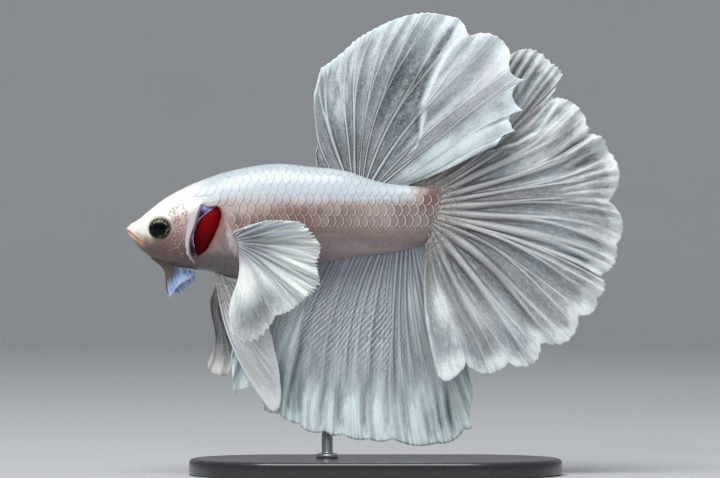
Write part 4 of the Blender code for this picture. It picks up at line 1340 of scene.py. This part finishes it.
DORSAL_LOOK = {
    **FAN_LOOK, "pleat": 0.22, "tooth": 0.07, "ruffle": 0.2, "root_width": 0.12, "tip_width": 0.11,
    "root_rise": 0.13, "first_split": 0.3, "spread": 0.2, "wander": 0.35, "shade": 0.6, "sheen": 0.5,
    "fades": ((10.3, 10.8, 0.8),),
    "overlaps": (
        (((9.2, 0.28), (8.4, 0.37), (7.8, 0.49), (7.5, 0.60), (7.3, 0.71), (7.2, 0.81), (7.17, 0.97)), -0.35),
    ),
}
dorsal_finish = fin_finish(
    "dorsal_fin_web",
    web=((104, 108, 112), (126, 135, 140), (186, 196, 201)),
    bone=((216, 220, 221), (232, 238, 241)), ice=(236, 249, 253), tint=(208, 208, 218),
    zone_tone=(214, 230, 230), mottled=0.32,
)
dorsal_line = line_on_body(DORSAL_FIN, 0)
dorsal = fin_piece("dorsal_fan", DORSAL_FIN, dorsal_line, dorsal_finish, 36, 88, DORSAL_LOOK, DORSAL_PAINT)
finish_piece(dorsal, "fin_membrane", "dorsal_fin")

# %% [markdown]
# ## The anal fin
#
# The anal fin hangs along most of the belly, with many fine rays and a white fringe. Its middle is
# crossed by short slanting strokes, where folds in the web catch the light. They are painted, since
# a relief that fine would need ten times the points.

# %% Anal fin
ANAL_PAINT = {
    "pale": (
        (9.6, 0.87, 0.6, 0.14, 1.6), (11.1, 0.90, 0.45, 0.12, 1.5), (12.7, 0.87, 0.75, 0.14, 1.6),
        (14.7, 0.88, 0.6, 0.14, 1.5), (16.2, 0.88, 0.45, 0.12, 1.3), (17.8, 0.88, 0.6, 0.12, 1.3),
        (18.4, 0.78, 1.0, 0.12, 0.7), (19.0, 0.24, 0.6, 0.12, 0.8), (21.5, 0.45, 0.6, 0.3, 0.6),
        (3.4, 0.92, 1.6, 0.14, 1.0), (4.0, 0.62, 1.2, 0.18, 0.7), (5.6, 0.92, 1.0, 0.1, 1.0),
        # The pale patches near rays 23 and 25 are painted light, brightening the rear part that lies in the
        # tail's shade.
        (8.9, 0.62, 0.3, 0.15, 0.5), (23.0, 0.72, 1.2, 0.25, 1.0), (24.8, 0.68, 1.4, 0.32, 1.0),
        (21.6, 0.38, 1.3, 0.14, 0.7), (7.2, 0.46, 0.8, 0.18, 1.4), (6.2, 0.5, 0.6, 0.2, 0.9),
        (11.4, 0.62, 0.35, 0.14, 0.4), (13.0, 0.66, 0.3, 0.14, 0.4),
    ),
    "dark": (
        (20.1, 0.41, 0.4, 0.11, 0.7), (17.6, 0.50, 0.3, 0.14, 0.7), (16.4, 0.60, 0.22, 0.16, 0.7),
        (13.75, 0.76, 0.17, 0.16, 0.8), (11.66, 0.78, 0.16, 0.16, 0.75), (15.6, 0.72, 0.16, 0.18, 0.7),
        (21.0, 0.66, 0.16, 0.16, 0.5), (10.43, 0.80, 0.16, 0.12, 0.75), (18.9, 0.78, 0.17, 0.14, 0.7),
        (18.9, 0.60, 0.8, 0.12, 0.4), (8.73, 0.86, 0.17, 0.12, 0.8), (17.0, 0.80, 0.15, 0.14, 0.6),
        (12.2, 0.62, 0.14, 0.14, 0.5), (4.4, 0.86, 0.17, 0.12, 0.7), (2.4, 0.88, 0.17, 0.12, 0.6),
        (6.2, 0.84, 0.17, 0.14, 0.7), (19.8, 0.86, 0.25, 0.07, 0.6), (18.6, 0.6, 0.2, 0.1, 0.4),
        (14.8, 0.38, 0.5, 0.10, 0.5), (11.4, 0.10, 6.0, 0.09, 0.3),
    ),
    "tint": (
        (21.3, 0.80, 0.9, 0.12, 0.8), (19.5, 0.55, 0.4, 0.10, 0.5), (5.2, 0.96, 0.7, 0.05, 0.7),
    ),
    "zone": (
        (8.6, 0.36, 2.6, 0.20, 1.0), (11.5, 0.42, 2.6, 0.20, 1.0), (14.6, 0.42, 2.2, 0.18, 1.0),
        (6.0, 0.4, 1.2, 0.2, 0.7),
    ),
}
ANAL_LOOK = {
    **FAN_LOOK, "pleat": 0.16, "tooth": 0.06, "sway": 0.55, "root_width": 0.15, "tip_width": 0.11,
    "root_rise": 0.08, "tip_rise": 0.05, "first_split": 0.35, "shade": 0.25, "sheen": 0.4,
    "wander": 0.25, "outer_fade": 0.7, "ripples": ((12.0, 5.0, 0.8, 0.16), (20.0, 3.0, 0.7, 0.18)),
    "overlaps": ((((7.0, 0.18), (8.1, 0.56), (7.7, 0.92)), 0.34),),
}
anal_finish = fin_finish(
    "anal_fin_web",
    web=((154, 159, 169), (150, 158, 165), (206, 226, 230)),
    bone=((176, 182, 192), (214, 222, 226)), ice=(240, 253, 254), tint=(190, 194, 190),
    zone_tone=(246, 250, 252), hatched=True,
)
anal_line = line_on_body(ANAL_FIN, 1)
anal = fin_piece("anal_fan", ANAL_FIN, anal_line, anal_finish, 18, 92, ANAL_LOOK, ANAL_PAINT)
finish_piece(anal, "fin_membrane", "anal_fin")

# %% [markdown]
# ## The pectoral fins
#
# The pectoral fins row the fish along, so their rays stand close and strong. One fin is described
# and the other is its mirror image. They leave the flank and not the middle of the body, and their
# roots tuck under the skin, so that no gap shows there.

# %% Pectoral fins
SIDES = (("left", -1), ("right", 1))
PECTORAL_FIN = {
    "base": ((15.4, -0.9), (15.8, -2.0), (16.3, -3.3)),
    "margin": (
        (17.1, 0.0, 0.0), (20.3, 1.1, 0.2), (25.4, 0.8, 0.1), (28.1, -2.4, 0.2), (27.4, -4.9, 0.1),
        (28.0, -7.8, 0.1), (24.7, -11.0, 0.3), (21.6, -12.4, 0.2), (20.4, -14.4, 0.5),
        (17.3, -16.3, 0.3), (15.4, -14.9, 0.0),
    ),
    "roots": (0.0, 0.25, 0.45, 0.6, 0.8, 1.0),
    "bow": (0.2, 0.2, 0.1, 0.3, 0.3, -0.1),
    "bend": (0.0, 0.0, 0.0, 0.0, 0.1, 0.55),
    "lean": (3.0, 4.6, 5.4, 5.2, 4.2, 2.8, 1.4),
    "base_lean": (0.0, 0.0),
    "rays": (0.0, 0.09, 0.18, 0.26, 0.33, 0.40, 0.46, 0.52, 0.58, 0.64, 0.71, 0.80, 0.90, 1.0),
}
PECTORAL_PAINT = {
    "pale": (
        (5.1, 0.6, 0.3, 0.35, 0.9), (6.3, 0.7, 0.35, 0.3, 0.9), (8.1, 0.62, 0.35, 0.3, 0.9),
        (9.9, 0.45, 0.5, 0.25, 0.9), (2.1, 0.54, 0.16, 0.3, 0.6), (3.2, 0.72, 0.16, 0.3, 0.6),
        (11.9, 0.34, 1.2, 0.19, 1.8), (0.6, 0.5, 0.3, 0.3, 0.6), (3.0, 0.9, 0.4, 0.08, 0.6),
        (1.5, 0.80, 0.3, 0.12, 0.8), (4.4, 0.84, 0.2, 0.12, 0.5), (12.9, 0.6, 0.35, 0.5, 0.8),
    ),
    "dark": (
        (3.8, 0.36, 0.16, 0.24, 1.0), (2.6, 0.45, 0.12, 0.3, 0.9), (1.5, 0.40, 0.12, 0.3, 0.8),
        (4.5, 0.60, 0.12, 0.3, 0.6), (7.4, 0.42, 0.18, 0.22, 0.9), (5.7, 0.5, 0.10, 0.3, 0.5),
        (8.9, 0.48, 0.16, 0.18, 0.9), (0.6, 0.45, 0.1, 0.3, 0.6), (7.0, 0.8, 0.08, 0.2, 0.5),
        (11.4, 0.76, 1.5, 0.17, 0.9), (10.3, 0.74, 0.6, 0.14, 0.8), (6.8, 0.99, 3.2, 0.09, 0.35),
        (9.6, 0.55, 0.08, 0.3, 0.5), (10.9, 0.45, 0.06, 0.2, 0.4), (12.6, 0.95, 0.6, 0.2, 0.5),
    ),
    "tint": (
        (1.2, 0.80, 1.0, 0.26, 0.9), (2.8, 0.76, 0.8, 0.24, 0.8), (6.4, 0.97, 1.6, 0.08, 0.5),
    ),
    "zone": (
        (6.0, -0.02, 9.0, 0.07, 0.8),
    ),
}
PECTORAL_LOOK = {
    **FAN_LOOK, "start": -0.04, "pleat": 0.32, "tooth": 0.26, "ruffle": 0.10, "sway": 0.3,
    "root_width": 0.30, "root_rise": 0.16, "shade": 0.75, "sheen": 0.5, "wander": 0.15,
    "fades": ((8.5, 10.5, 0.85),),
    "fullness": ((0, 1.2), (3, 1.6), (6, 1.5), (8, 1.1), (10, 0.3), (13, 0.1)),
}
pectoral_finish = fin_finish(
    "pectoral_fin_web",
    web=((164, 165, 178), (178, 187, 186), (182, 186, 187)),
    bone=((224, 226, 228), (238, 244, 238)), ice=(250, 254, 251), tint=(176, 190, 214),
    zone_tone=(206, 194, 196), hem=0.2,
)
pectoral_line = line_on_flank(PECTORAL_FIN, 0.65)
for side, sign in SIDES:
    pectoral = fin_piece("pectoral_fan_" + side, PECTORAL_FIN, pectoral_line, pectoral_finish, 20, 70,
                         PECTORAL_LOOK, PECTORAL_PAINT, mirrored=sign < 0, tuck=1.0)
    finish_piece(pectoral, "fin_membrane", "pectoral_fin_" + side)

# %% [markdown]
# ## The pelvic fins
#
# The pelvic fins are long narrow blades under the breast. The near one is pale and sweeps back. The
# far one hangs straighter in shade, and its blade is painted dark as painted shade. They differ too
# much to be mirrored, so each has its own size.

# %% Pelvic blades
PELVIC_FIN_LEFT = {
    "base": ((12.9, -7.6), (16.2, -8.1)),
    "margin": (
        (20.9, -26.3, 0.3), (22.2, -25.6, 0.2), (22.2, -22.0, 0.2),
        (21.4, -17.5, 0.2), (20.2, -13.5, 0.2), (18.2, -9.6, 0.0),
    ),
    "roots": (0.0, 0.3, 0.5, 0.65, 0.8, 1.0),
    "bow": (-1.5, -1.0, -0.5, 0.0, 0.0, 0.0),
    "lean": (1.9, 1.9, 1.8, 1.7, 1.5, 1.2, 0.9),
    "base_lean": (0.0, 0.0),
    "rays": (0.0, 0.1, 0.28, 0.5, 0.75, 1.0),
}
PELVIC_FIN_RIGHT = {
    "base": ((13.0, -7.9), (15.0, -8.0)),
    "margin": (
        (11.9, -19.0, 0.8), (13.0, -21.1, 0.3), (14.7, -21.0, 0.3),
        (15.0, -17.6, 0.2), (15.3, -14.0, 0.2), (15.4, -11.0, 0.0),
    ),
    "roots": (0.0, 0.3, 0.5, 0.65, 0.8, 1.0),
    "bow": (0.1, 0.1, 0.0, 0.0, 0.0, 0.0),
    "bend": (-0.65, -0.5, -0.2, 0.0),
    "lean": (1.9, 1.9, 1.8, 1.6, 1.3, 1.0, 0.7),
    "base_lean": (0.0, 0.0),
    "rays": (0.0, 0.2, 0.45, 0.7, 1.0),
}
BLADE_LOOK = {
    **FAN_LOOK, "start": -0.08, "pleat": 0.1, "tooth": 0.05, "ruffle": 0.1, "sway": 0.15,
    "root_width": 0.16, "tip_width": 0.09, "root_rise": 0.09,
}
FAR_BLADE_LOOK = {**BLADE_LOOK, "ruffle": 0.5, "pleat": 0.25, "tooth": 0.12}
FAR_BLADE_PAINT = {
    "pale": (
        (3.2, 0.5, 0.2, 0.3, 0.6),
    ), "dark": ((1.8, 0.86, 0.3, 0.08, 0.7),),
    "zone": (
        (1.0, 1.0, 1.2, 0.16, 1.0), (2.6, 0.98, 1.2, 0.13, 1.0),
    ),
}
pelvic_left_finish = fin_finish(
    "pelvic_blade_web",
    web=((194, 195, 197), (222, 224, 226), (232, 233, 235)),
    bone=((232, 235, 236), (242, 244, 245)), ice=(234, 237, 238), tint=(210, 206, 210),
    zone_tone=(160, 160, 162), granular=0.7, root_end=0.34,
)
# The far blade's dark web and ray tones are painted shade.
pelvic_right_finish = fin_finish(
    "far_pelvic_blade_web",
    web=((76, 77, 79), (96, 97, 99), (146, 146, 144)),
    bone=((112, 113, 115), (182, 181, 178)), ice=(216, 214, 210), tint=(100, 99, 99),
    zone_tone=(242, 241, 236), granular=0.6, root_end=0.34,
)
for side, fin, finish, look, paint in (
    ("left", PELVIC_FIN_LEFT, pelvic_left_finish, BLADE_LOOK, NO_PAINT),
    ("right", PELVIC_FIN_RIGHT, pelvic_right_finish, FAR_BLADE_LOOK, FAR_BLADE_PAINT),
):
    pelvic = fin_piece("pelvic_blade_" + side, fin, line_along(fin, 0.75), finish, 20, 80, look, paint,
                       mirrored=side == "left")
    finish_piece(pelvic, "fin_membrane", "pelvic_fin_" + side)

# %% [markdown]
# ## The throat membranes
#
# Under the open gill covers hang two thin blue membranes, which a betta spreads as a beard when it
# faces a rival. They are small fans too, so the same function makes them.

# %% Throat membranes
THROAT_MEMBRANE = {
    "base": ((4.15, -4.75), (7.0, -5.7), (9.6, -6.15)),
    "margin": ((6.2, -9.9, 0.1), (7.0, -8.9, -0.1), (8.2, -7.7, 0.1), (9.75, -6.5, 0.0)),
    "roots": (0.0, 0.3, 0.5, 0.7, 0.85, 1.0),
    "bow": (0.5, 0.2, 0.0, 0.0, 0.0, 0.0),
    "bend": (0.3, 0.1, 0.0, 0.0),
    "lean": (0.6, 0.7, 0.7, 0.6, 0.5, 0.4, 0.3),
    "base_lean": (0.0, 0.0),
    "rays": (0.0, 0.3, 0.55, 0.8, 1.0),
}
FAR_MARGIN = ((7.0, -9.3, 0.1), (7.9, -9.4, 0.1), (9.3, -7.7, 0.2), (10.1, -6.7, 0.0))
FAR_THROAT = {**THROAT_MEMBRANE, "margin": FAR_MARGIN}
THROAT_LOOK = {**BLADE_LOOK, "web": 0.06, "start": -0.15, "root_width": 0.2, "root_rise": 0.05, "pleat": 0.14}
THROAT_PAINT = {
    "pale": (
        (2.2, 0.6, 0.5, 0.25, 0.7), (3.0, 0.45, 0.25, 0.2, 0.6),
    ),
    "dark": (
        (2.3, 0.7, 0.16, 0.3, 0.4), (1.2, 0.5, 0.12, 0.4, 0.4),
    ),
    # The zone lays the brown of the throat in shade over the membrane's root and front: painted shade.
    "zone": (
        (0.0, 0.0, 1.4, 0.56, 2.2), (0.0, 0.5, 0.22, 0.40, 2.0),
    ),
}
throat_finish = fin_finish(
    "throat_membrane_web",
    web=((150, 186, 236), (156, 194, 240), (138, 158, 200)),
    bone=((160, 190, 234), (180, 208, 244)), ice=(220, 238, 252), tint=(130, 140, 190),
    # zone_tone is the throat's brown in shade, as painted shade.
    zone_tone=(96, 84, 82), hem=0.4,
)
for side, fin in (("left", THROAT_MEMBRANE), ("right", FAR_THROAT)):
    throat = fin_piece("throat_web_" + side, fin, line_along(fin, 0.7), throat_finish, 16, 36,
                       THROAT_LOOK, THROAT_PAINT, mirrored=side == "left")
    finish_piece(throat, "throat_membrane", "throat_membrane_" + side)

# %% [markdown]
# ## The scales
#
# A betta's scales lie in rows along the body like roof tiles. Each is a thin rounded shield: its
# front is tucked under the scales ahead and its rear edge stands a little proud. They could be a
# painted pattern, but light catches real edges, so every scale here is its own thin closed shell.
# One shell is described here, and array arithmetic lays all of them in place further on.

# %% One scale
PITCH = 1.12
ROW = 1.55
SCALE_LENGTH = 2.25
SCALE_HALF_HEIGHT = 1.04
SCALE_MIDDLE = 0.52
ROOT_SINK = -0.15
EDGE_LIFT = 0.06
SHELL = 0.035

# Half of a scale's outline, from the middle of its rear edge round to its root.
HALF_OUTLINE = np.array([
    (1.0, 0.0), (0.99, 0.20), (0.965, 0.38), (0.92, 0.55), (0.86, 0.74), (0.80, 0.90), (0.745, 1.0),
    (0.60, 0.98), (0.44, 0.90), (0.28, 0.76), (0.14, 0.56), (0.04, 0.30), (0.0, 0.0),
])
outline = np.concatenate([HALF_OUTLINE, HALF_OUTLINE[-2:0:-1] * (1, -1)])
rim_along, rim_across = outline.T
corners = len(outline)
LEVELS = np.array([0.45, 0.80, 0.93, 1.0])
top_along = SCALE_MIDDLE + (rim_along - SCALE_MIDDLE) * LEVELS[:, None]
top_across = rim_across * LEVELS[:, None]

# Four rings on top, one below the rim, then the middle of the top and of the underside.
scale_along = np.concatenate([top_along.ravel(), rim_along, [SCALE_MIDDLE, SCALE_MIDDLE]])
scale_across = np.concatenate([top_across.ravel(), rim_across, [0.0, 0.0]])
scale_edge = np.concatenate([np.repeat(LEVELS, corners), np.ones(corners), [0.0, 0.0]])
scale_depth = np.concatenate([np.zeros(top_along.size), np.ones(corners), [0.0, 3.0]])
scale_quads, scale_fans = ring_faces(len(LEVELS) + 1, corners)
print("one scale:", 2 * len(scale_quads) + len(scale_fans), "triangles")

# %% [markdown]
# ## Where the scales go
#
# Rows run along the body at even distances down the skin, and every second row starts half a step
# back, so that the scales interlock. None is laid on the face, on the gill opening or past the root
# of the tail.

# %% Places of the scales
ROWS = np.arange(-6, 8)
SCALES_IN_ROW = 44
FIRST_SCALE = 4.4
NEAREST_BACK = 0.75


def first_behind_head(z):
    """How far back the scales start at each height."""
    on_nape = 7.2 + 4.0 * ease(6.0, 4.0, z)
    behind_gill = along_height(OPENING_REAR, np.clip(z, -5, 3.8)) + 0.9
    return np.where(z > 3.9, on_nape, behind_gill)


def scale_places(median):
    """(x, distance down the side) of each scale's middle on one side, and on the back's middle."""
    row, k = np.meshgrid(ROWS, np.arange(SCALES_IN_ROW), indexing="ij")
    x = FIRST_SCALE + k * PITCH + (row % 2) * PITCH / 2
    spots = np.stack([x, np.interp(x, GIRTH_X, DOWN_TO_LINE) + row * ROW], axis=-1).reshape(-1, 2)
    spots = spots[spots[:, 1] > NEAREST_BACK]
    if median:
        middle = FIRST_SCALE + PITCH * np.arange(SCALES_IN_ROW)
        spots = np.concatenate([spots, np.stack([middle, 0 * middle], axis=-1)])
    x, down = spots.T
    half = np.interp(x, GIRTH_X, HALF_GIRTH)
    real_x, _, z = ring(x, turn_down(x, down)).T
    on_body = (down < half - 0.25) & (real_x < 45.6) & (x < 45.4)
    return spots[(x > first_behind_head(z)) & on_body]


print("places for scales on one side:", len(scale_places(False)))

# %% [markdown]
# ## Laying the scales
#
# Each scale is bent to the skin under it: every one of its points finds its own place on the body
# and is lifted off it along the outward direction. Scales stamped flat would stick out where the
# body curves. Low on the flank and on the back they lie closer, as on the fish.

# %% One side's scales as a mesh
MAP_PATCH = (0.003, 0.0015)
MAP_LENGTH = 48
MAP_GIRTH = 19.5


def scale_lift(ground, on_ridge, wobble):
    """How far each point of each scale stands off the skin."""
    back, up = ground[..., 0], ground[..., 2]
    lift = ROOT_SINK + (EDGE_LIFT - ROOT_SINK) * scale_along**0.9 - 0.02 * scale_edge**8
    low = ease(0.6, -0.3, up - 0.5 * ease(36.0, 44.0, back))
    low = np.maximum(low, ease(-0.2, -1.6, up) * ease(17.0, 14.0, back))
    lift = lift * (1 - 0.93 * low) + 0.004 * low
    lift = lift * (1 - 0.68 * ease(4.0, 5.2, up)) - 0.03 * on_ridge
    return lift - SHELL * scale_depth + 0.012 * (wobble - 0.5)


def scale_map(spots, shift):
    """A small patch of the image map for each scale, laid out as the scales lie on the body."""
    u = 0.04 + 0.44 * spots[:, :1] / MAP_LENGTH + shift + MAP_PATCH[0] * (scale_along - 0.5)
    v = 0.04 + 0.92 * spots[:, 1:] / MAP_GIRTH + MAP_PATCH[1] * scale_across
    return np.stack([u, v], axis=-1).reshape(-1, 2)


def lay_scales(name, side, median, finish):
    """All the scales of one side as one mesh."""
    spots = scale_places(median)
    number = np.arange(len(spots))
    wobble = scatter(number, np.round(spots[:, 1]), 3)[:, None]
    small = 1 - 0.22 * ease(40.0, 46.0, spots[:, :1]) - 0.30 * ease(11.0, 6.0, spots[:, :1])
    x = spots[:, :1] + (scale_along - 0.62) * SCALE_LENGTH * (0.96 + 0.08 * wobble)
    down = spots[:, 1:] + scale_across * SCALE_HALF_HEIGHT * (0.6 + 0.4 * small)
    if not median:
        down = np.maximum(down, 0.03)
    turn = turn_down(x, down)
    ground, below = skin_points(x, turn, opened=False)
    lift = scale_lift(ground, spots[:, 1:] == 0, wobble)
    points = ground + outward(x, turn) * (lift + SKIN_DEPTH)[..., None]
    points[..., 1] *= side
    clear = np.clip(below["pocket"] + below["band"], 0, 1).mean(axis=1) < 0.13
    points, spots, wobble = points[clear], spots[clear], wobble[clear]
    shift = (np.arange(len(spots)) * len(scale_along))[:, None, None]
    quads = (scale_quads + shift).reshape(-1, 4)
    fans = (scale_fans + shift).reshape(-1, 3)
    marks = {"scale": each_point(scale_edge, wobble, scale_along)}
    maps = {"OFBake": scale_map(spots, 0.5 if side > 0 else 0.0)}
    print(f"{len(spots)} scales")
    return make_piece(name, points.reshape(-1, 3), quads, finish, marks, maps, fans)


# %% [markdown]
# ## The scales' finish
#
# A scale takes the body's colour where it lies, so the pattern runs on across all of them. On the
# dark mid flank its rear edge has a pale rim with a dark painted shadow line at its very edge, and on
# the white back a faint grey one. Here and there one scale is a touch brighter than its neighbours.

# %% Scales of both sides
guanine = Finish("scales", roughness=0.34, coat_weight=0.3, coat_roughness=0.2)
edge, chance, run = guanine.mark("scale")
back, up = guanine.from_snout()
rear = guanine.band(run, 0.62, 0.82)
crescent = guanine.both(guanine.band(edge, 0.80, 0.87), guanine.band(edge, 0.955, 0.92), rear)
rim_shadow = guanine.both(guanine.band(edge, 0.91, 0.95), rear)
mid_flank = guanine.both(guanine.band(up, 5.6, 4.2), guanine.band(up, -0.4, 0.6))
white_part = guanine.band(up, 4.2, 5.4)
bright = guanine.scaled(guanine.band(back, 30.0, 40.0), 0.3, 0.58)
lucky = guanine.both(guanine.band(chance, 0.45, 1.0), guanine.band(up, -2.0, 1.0))
colour = body_tones(guanine)
for mask, strength, top in (
    # Painted shadow lines at the scales' rear edges: dark on the mid flank, faint grey on the white back.
    (guanine.both(rim_shadow, mid_flank), 0.6, (84, 60, 58)),
    (guanine.both(crescent, mid_flank), bright, (230, 214, 208)),
    (guanine.both(rim_shadow, white_part), 0.14, (130, 138, 146)),
    (lucky, 0.12, (246, 236, 230)),
):
    colour = guanine.over(colour, top, mask, strength)
guanine.bump(guanine.noise(guanine.where(), 9.0, 2.0), 0.00002, 0.5)
scale_finish = guanine.paint(colour)
left_scales = lay_scales("scales_left", -1, True, scale_finish)
finish_piece(left_scales, "skin")
right_scales = lay_scales("scales_right", 1, False, scale_finish)
finish_piece(right_scales, "skin")

# %% [markdown]
# ## The eyes
#
# A fish has no eyelids, so the whole disc shows: a round pupil, a dark iris flecked with silver on
# its lit top and lower rear, partly as painted highlights, and a pale ring where the eyeball meets its
# socket. The ball is flattened and its clear front bulges a little. Glass over an iris would need
# many light paths, so the gloss is a clear coat.

# %% Eyeballs
EYE_RADIUS = 1.66
EYE_DEPTH = 1.2
EYE_OUT = 2.3

eye = Finish("eye", roughness=0.5, specular_ior_level=0.04, coat_weight=0.2, coat_roughness=0.05)
radius, across, up = eye.mark("disc")
turn = eye.sum("ARCTAN2", up, across)
fibres = eye.noise(eye.pattern(eye.scaled(turn, 3.0), eye.scaled(radius, 1.2)), 3.0, 3.0)
flecks = eye.noise(eye.where(), 5.0, 2.0, 0.7)
iris = eye.mix(fibres, (4, 5, 4), (20, 24, 19))
# The silver flecks show only on the lit top and lower rear of the iris: partly real flecks, partly painted
# highlights.
to_front_below = eye.band(eye.sum("SUBTRACT", across, up), 0.45, 0.9)
lit_part = eye.sum("MAXIMUM", eye.band(up, 0.15, 0.6), to_front_below)
fleck_ring = eye.both(eye.band(radius, 0.92, 1.08), eye.band(radius, 1.42, 1.3), lit_part)
iris = eye.mix(eye.both(fleck_ring, eye.band(flecks, 0.50, 0.58)), iris, (180, 182, 166))
iris = eye.mix(eye.band(radius, 0.82, 0.72), iris, (3, 3, 4))
iris = eye.mix(eye.band(radius, 1.44, 1.47), iris, (8, 8, 8))
pale_ring = eye.mix(flecks, (150, 140, 116), (222, 214, 190))
iris = eye.mix(eye.band(radius, 1.48, 1.53), iris, pale_ring)
eye_finish = eye.paint(iris)

EYE_RINGS = 61
EYE_SIDES = 72
polar = np.linspace(0, math.pi, EYE_RINGS)[:, None]
round_it = np.linspace(0, 2 * math.pi, EYE_SIDES, endpoint=False)[None, :]
disc = EYE_RADIUS * np.sin(polar)
bulge = 0.10 * np.exp(-((disc / 1.15) ** 4)) * (polar < math.pi / 2)
front_of_eye = EYE_OUT + EYE_DEPTH * np.cos(polar) + bulge
disc_back = EYE[0] + disc * np.cos(round_it)
disc_up = EYE[1] + disc * np.sin(round_it)
disc_marks = each_point(disc, np.sin(polar) * np.cos(round_it), np.sin(polar) * np.sin(round_it))
for side, sign in SIDES:
    ball = each_point(disc_back, sign * front_of_eye, disc_up)
    quads = ring_faces(EYE_RINGS, EYE_SIDES)[0]
    eyeball = make_piece("eyeball_" + side, ball, quads, eye_finish, {"disc": disc_marks})
    finish_piece(eyeball, "eye", "eye_" + side)

# %% [markdown]
# ## The gills
#
# Behind the lifted cover lies the gill: a leaf of fine red filaments, set side by side like the
# teeth of a comb. The filaments are real ridges, and the red is painted darker low on the leaf and
# where the cover shades it, as painted shade.

# %% Gill leaves
blood = Finish("gill_filaments", roughness=0.6, specular_ior_level=0.06)
comb, lower, inner = blood.mark("comb")
veins = blood.noise(blood.where(), 1.6, 3.0)
# Painted shade: the red darkens low on the leaf and along its front edge under the cover.
red = blood.mix(lower, (126, 4, 13), (50, 1, 3))
red = blood.over(red, (120, 4, 10), blood.band(veins, 0.4, 0.7), 0.5)
red = blood.over(red, (70, 0, 5), comb, 0.35)
red = blood.over(red, (48, 2, 14), inner, 0.7)
gill_finish = blood.paint(red)

LEAF_ROWS = 150
LEAF_COLUMNS = 40
LEAF_THICKNESS = 0.35
TOOTH_PITCH = 0.2
leaf_up = np.linspace(0, 1, LEAF_ROWS)[:, None] + np.zeros(LEAF_COLUMNS)
leaf_across = np.linspace(0, 1, LEAF_COLUMNS)[None, :] + np.zeros((LEAF_ROWS, 1))
leaf_z = -3.95 + 7.2 * leaf_up
front_edge = along_height(GILL_FRONT, leaf_z)
rear_edge = along_height(OPENING_REAR, leaf_z) - 0.02
leaf_x = front_edge + (rear_edge - front_edge) * leaf_across
teeth = 0.5 + 0.5 * np.cos(2 * math.pi * (leaf_z / TOOTH_PITCH + 2.2 * leaf_across))
swell = np.sin(math.pi * np.clip(leaf_across, 0, 1)) ** 0.6 * np.sin(math.pi * leaf_up) ** 0.35
leaf_y = flank(leaf_x, leaf_z) - 0.85 + 0.62 * swell - 0.022 * teeth
leaf_faces = sheet_faces(LEAF_ROWS, LEAF_COLUMNS)
comb_marks = on_both_faces(teeth, ease(0.75, 0.1, leaf_up), ease(0.22, 0.0, leaf_across))
for side, sign in SIDES:
    face = each_point(leaf_x, sign * leaf_y, leaf_z)
    rear_face = face - np.array([0.0, sign * LEAF_THICKNESS, 0.0])
    both_faces = np.concatenate([face, rear_face])
    leaf = make_piece("gill_leaf_" + side, both_faces, leaf_faces, gill_finish, {"comb": comb_marks})
    finish_piece(leaf, "gill", "gill_" + side)

# %% [markdown]
# ## The display stand
#
# The real fish hangs in water. A model needs something to rest on, so it stands on a flat base
# with rounded ends, lacquered dark so that it draws no attention, and one steel rod runs up into
# the belly. A sharp edge never catches light, so every edge here is rounded.

# %% Base and rod
base_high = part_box("stand_base")[1]
rod_low, rod_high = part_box("stand_rod")
half_width = 1000 * base_high.y
straight = 1000 * base_high.x - half_width
top = 1000 * base_high.z
around = np.linspace(0, 2 * math.pi, 192, endpoint=False)


def turned_ring(outline, profile, name, finish):
    """A closed solid whose outline shrinks and rises along a profile of (inset, height)."""
    levels = np.array([[*outline(inset), np.full(len(around), height)] for inset, height in profile])
    levels = levels.transpose(0, 2, 1)
    points = np.concatenate([levels.reshape(-1, 3), levels[[0, -1]].mean(axis=1)]) - SNOUT
    quads, fans = ring_faces(len(profile), len(around))
    return make_piece(name, points, quads, finish, (), (), fans)


def stadium(inset):
    """The base's outline, two half rounds joined by straight sides, drawn in by an inset."""
    end = np.where(np.cos(around) >= 0, straight, -straight)
    return end + (half_width - inset) * np.cos(around), (half_width - inset) * np.sin(around)


def rod_circle(inset):
    """The rod's outline about its own place."""
    x, y = 500 * (rod_low.x + rod_high.x), 500 * (rod_low.y + rod_high.y)
    radius = 500 * (rod_high.x - rod_low.x) - inset
    return x + radius * np.cos(around), y + radius * np.sin(around)


lacquer = Finish("stand_base_lacquer", roughness=0.34, coat_weight=0.6, coat_roughness=0.12)
orange_peel = lacquer.noise(lacquer.where(), 1.3, 2.0)
lacquer.bump(orange_peel, 0.00002, 0.4)
lacquer_finish = lacquer.paint(lacquer.mix(orange_peel, (34, 34, 36), (42, 42, 45)))
BASE_PROFILE = (
    (13.9, 0.0), (1.0, 0.0), (0.25, 0.06), (0.06, 0.22), (0.0, 0.5), (0.0, top - 0.7),
    (0.07, top - 0.35), (0.25, top - 0.12), (0.6, top), (1.6, top), (13.9, top),
)
plinth = turned_ring(stadium, BASE_PROFILE, "stand_plinth", lacquer_finish)
finish_piece(plinth, "stand_base", "stand_base")

steel = Finish("stand_rod_steel", metallic=1.0, roughness=0.28, anisotropic=0.5)
drawn = steel.noise(steel.where((3.0, 3.0, 0.15)), 2.0, 3.0)
steel_tone = steel.mix(drawn, (150, 152, 155), (196, 198, 200))
steel_finish = steel.paint(steel_tone, steel.scaled(drawn, 0.2, 0.2))
foot = 1000 * rod_low.z
tip = 1000 * rod_high.z
ROD_PROFILE = (
    (0.7, foot), (0.0, foot + 0.1), (0.0, top), (-0.75, top), (-0.8, top + 0.08),
    (-0.8, top + 0.45), (-0.6, top + 0.62), (-0.12, top + 0.7), (0.0, top + 0.85),
    (0.0, tip - 0.2), (0.15, tip), (0.75, tip),
)
rod = turned_ring(rod_circle, ROD_PROFILE, "stand_rod_turned", steel_finish)
finish_piece(rod, "stand_rod", "stand_rod")
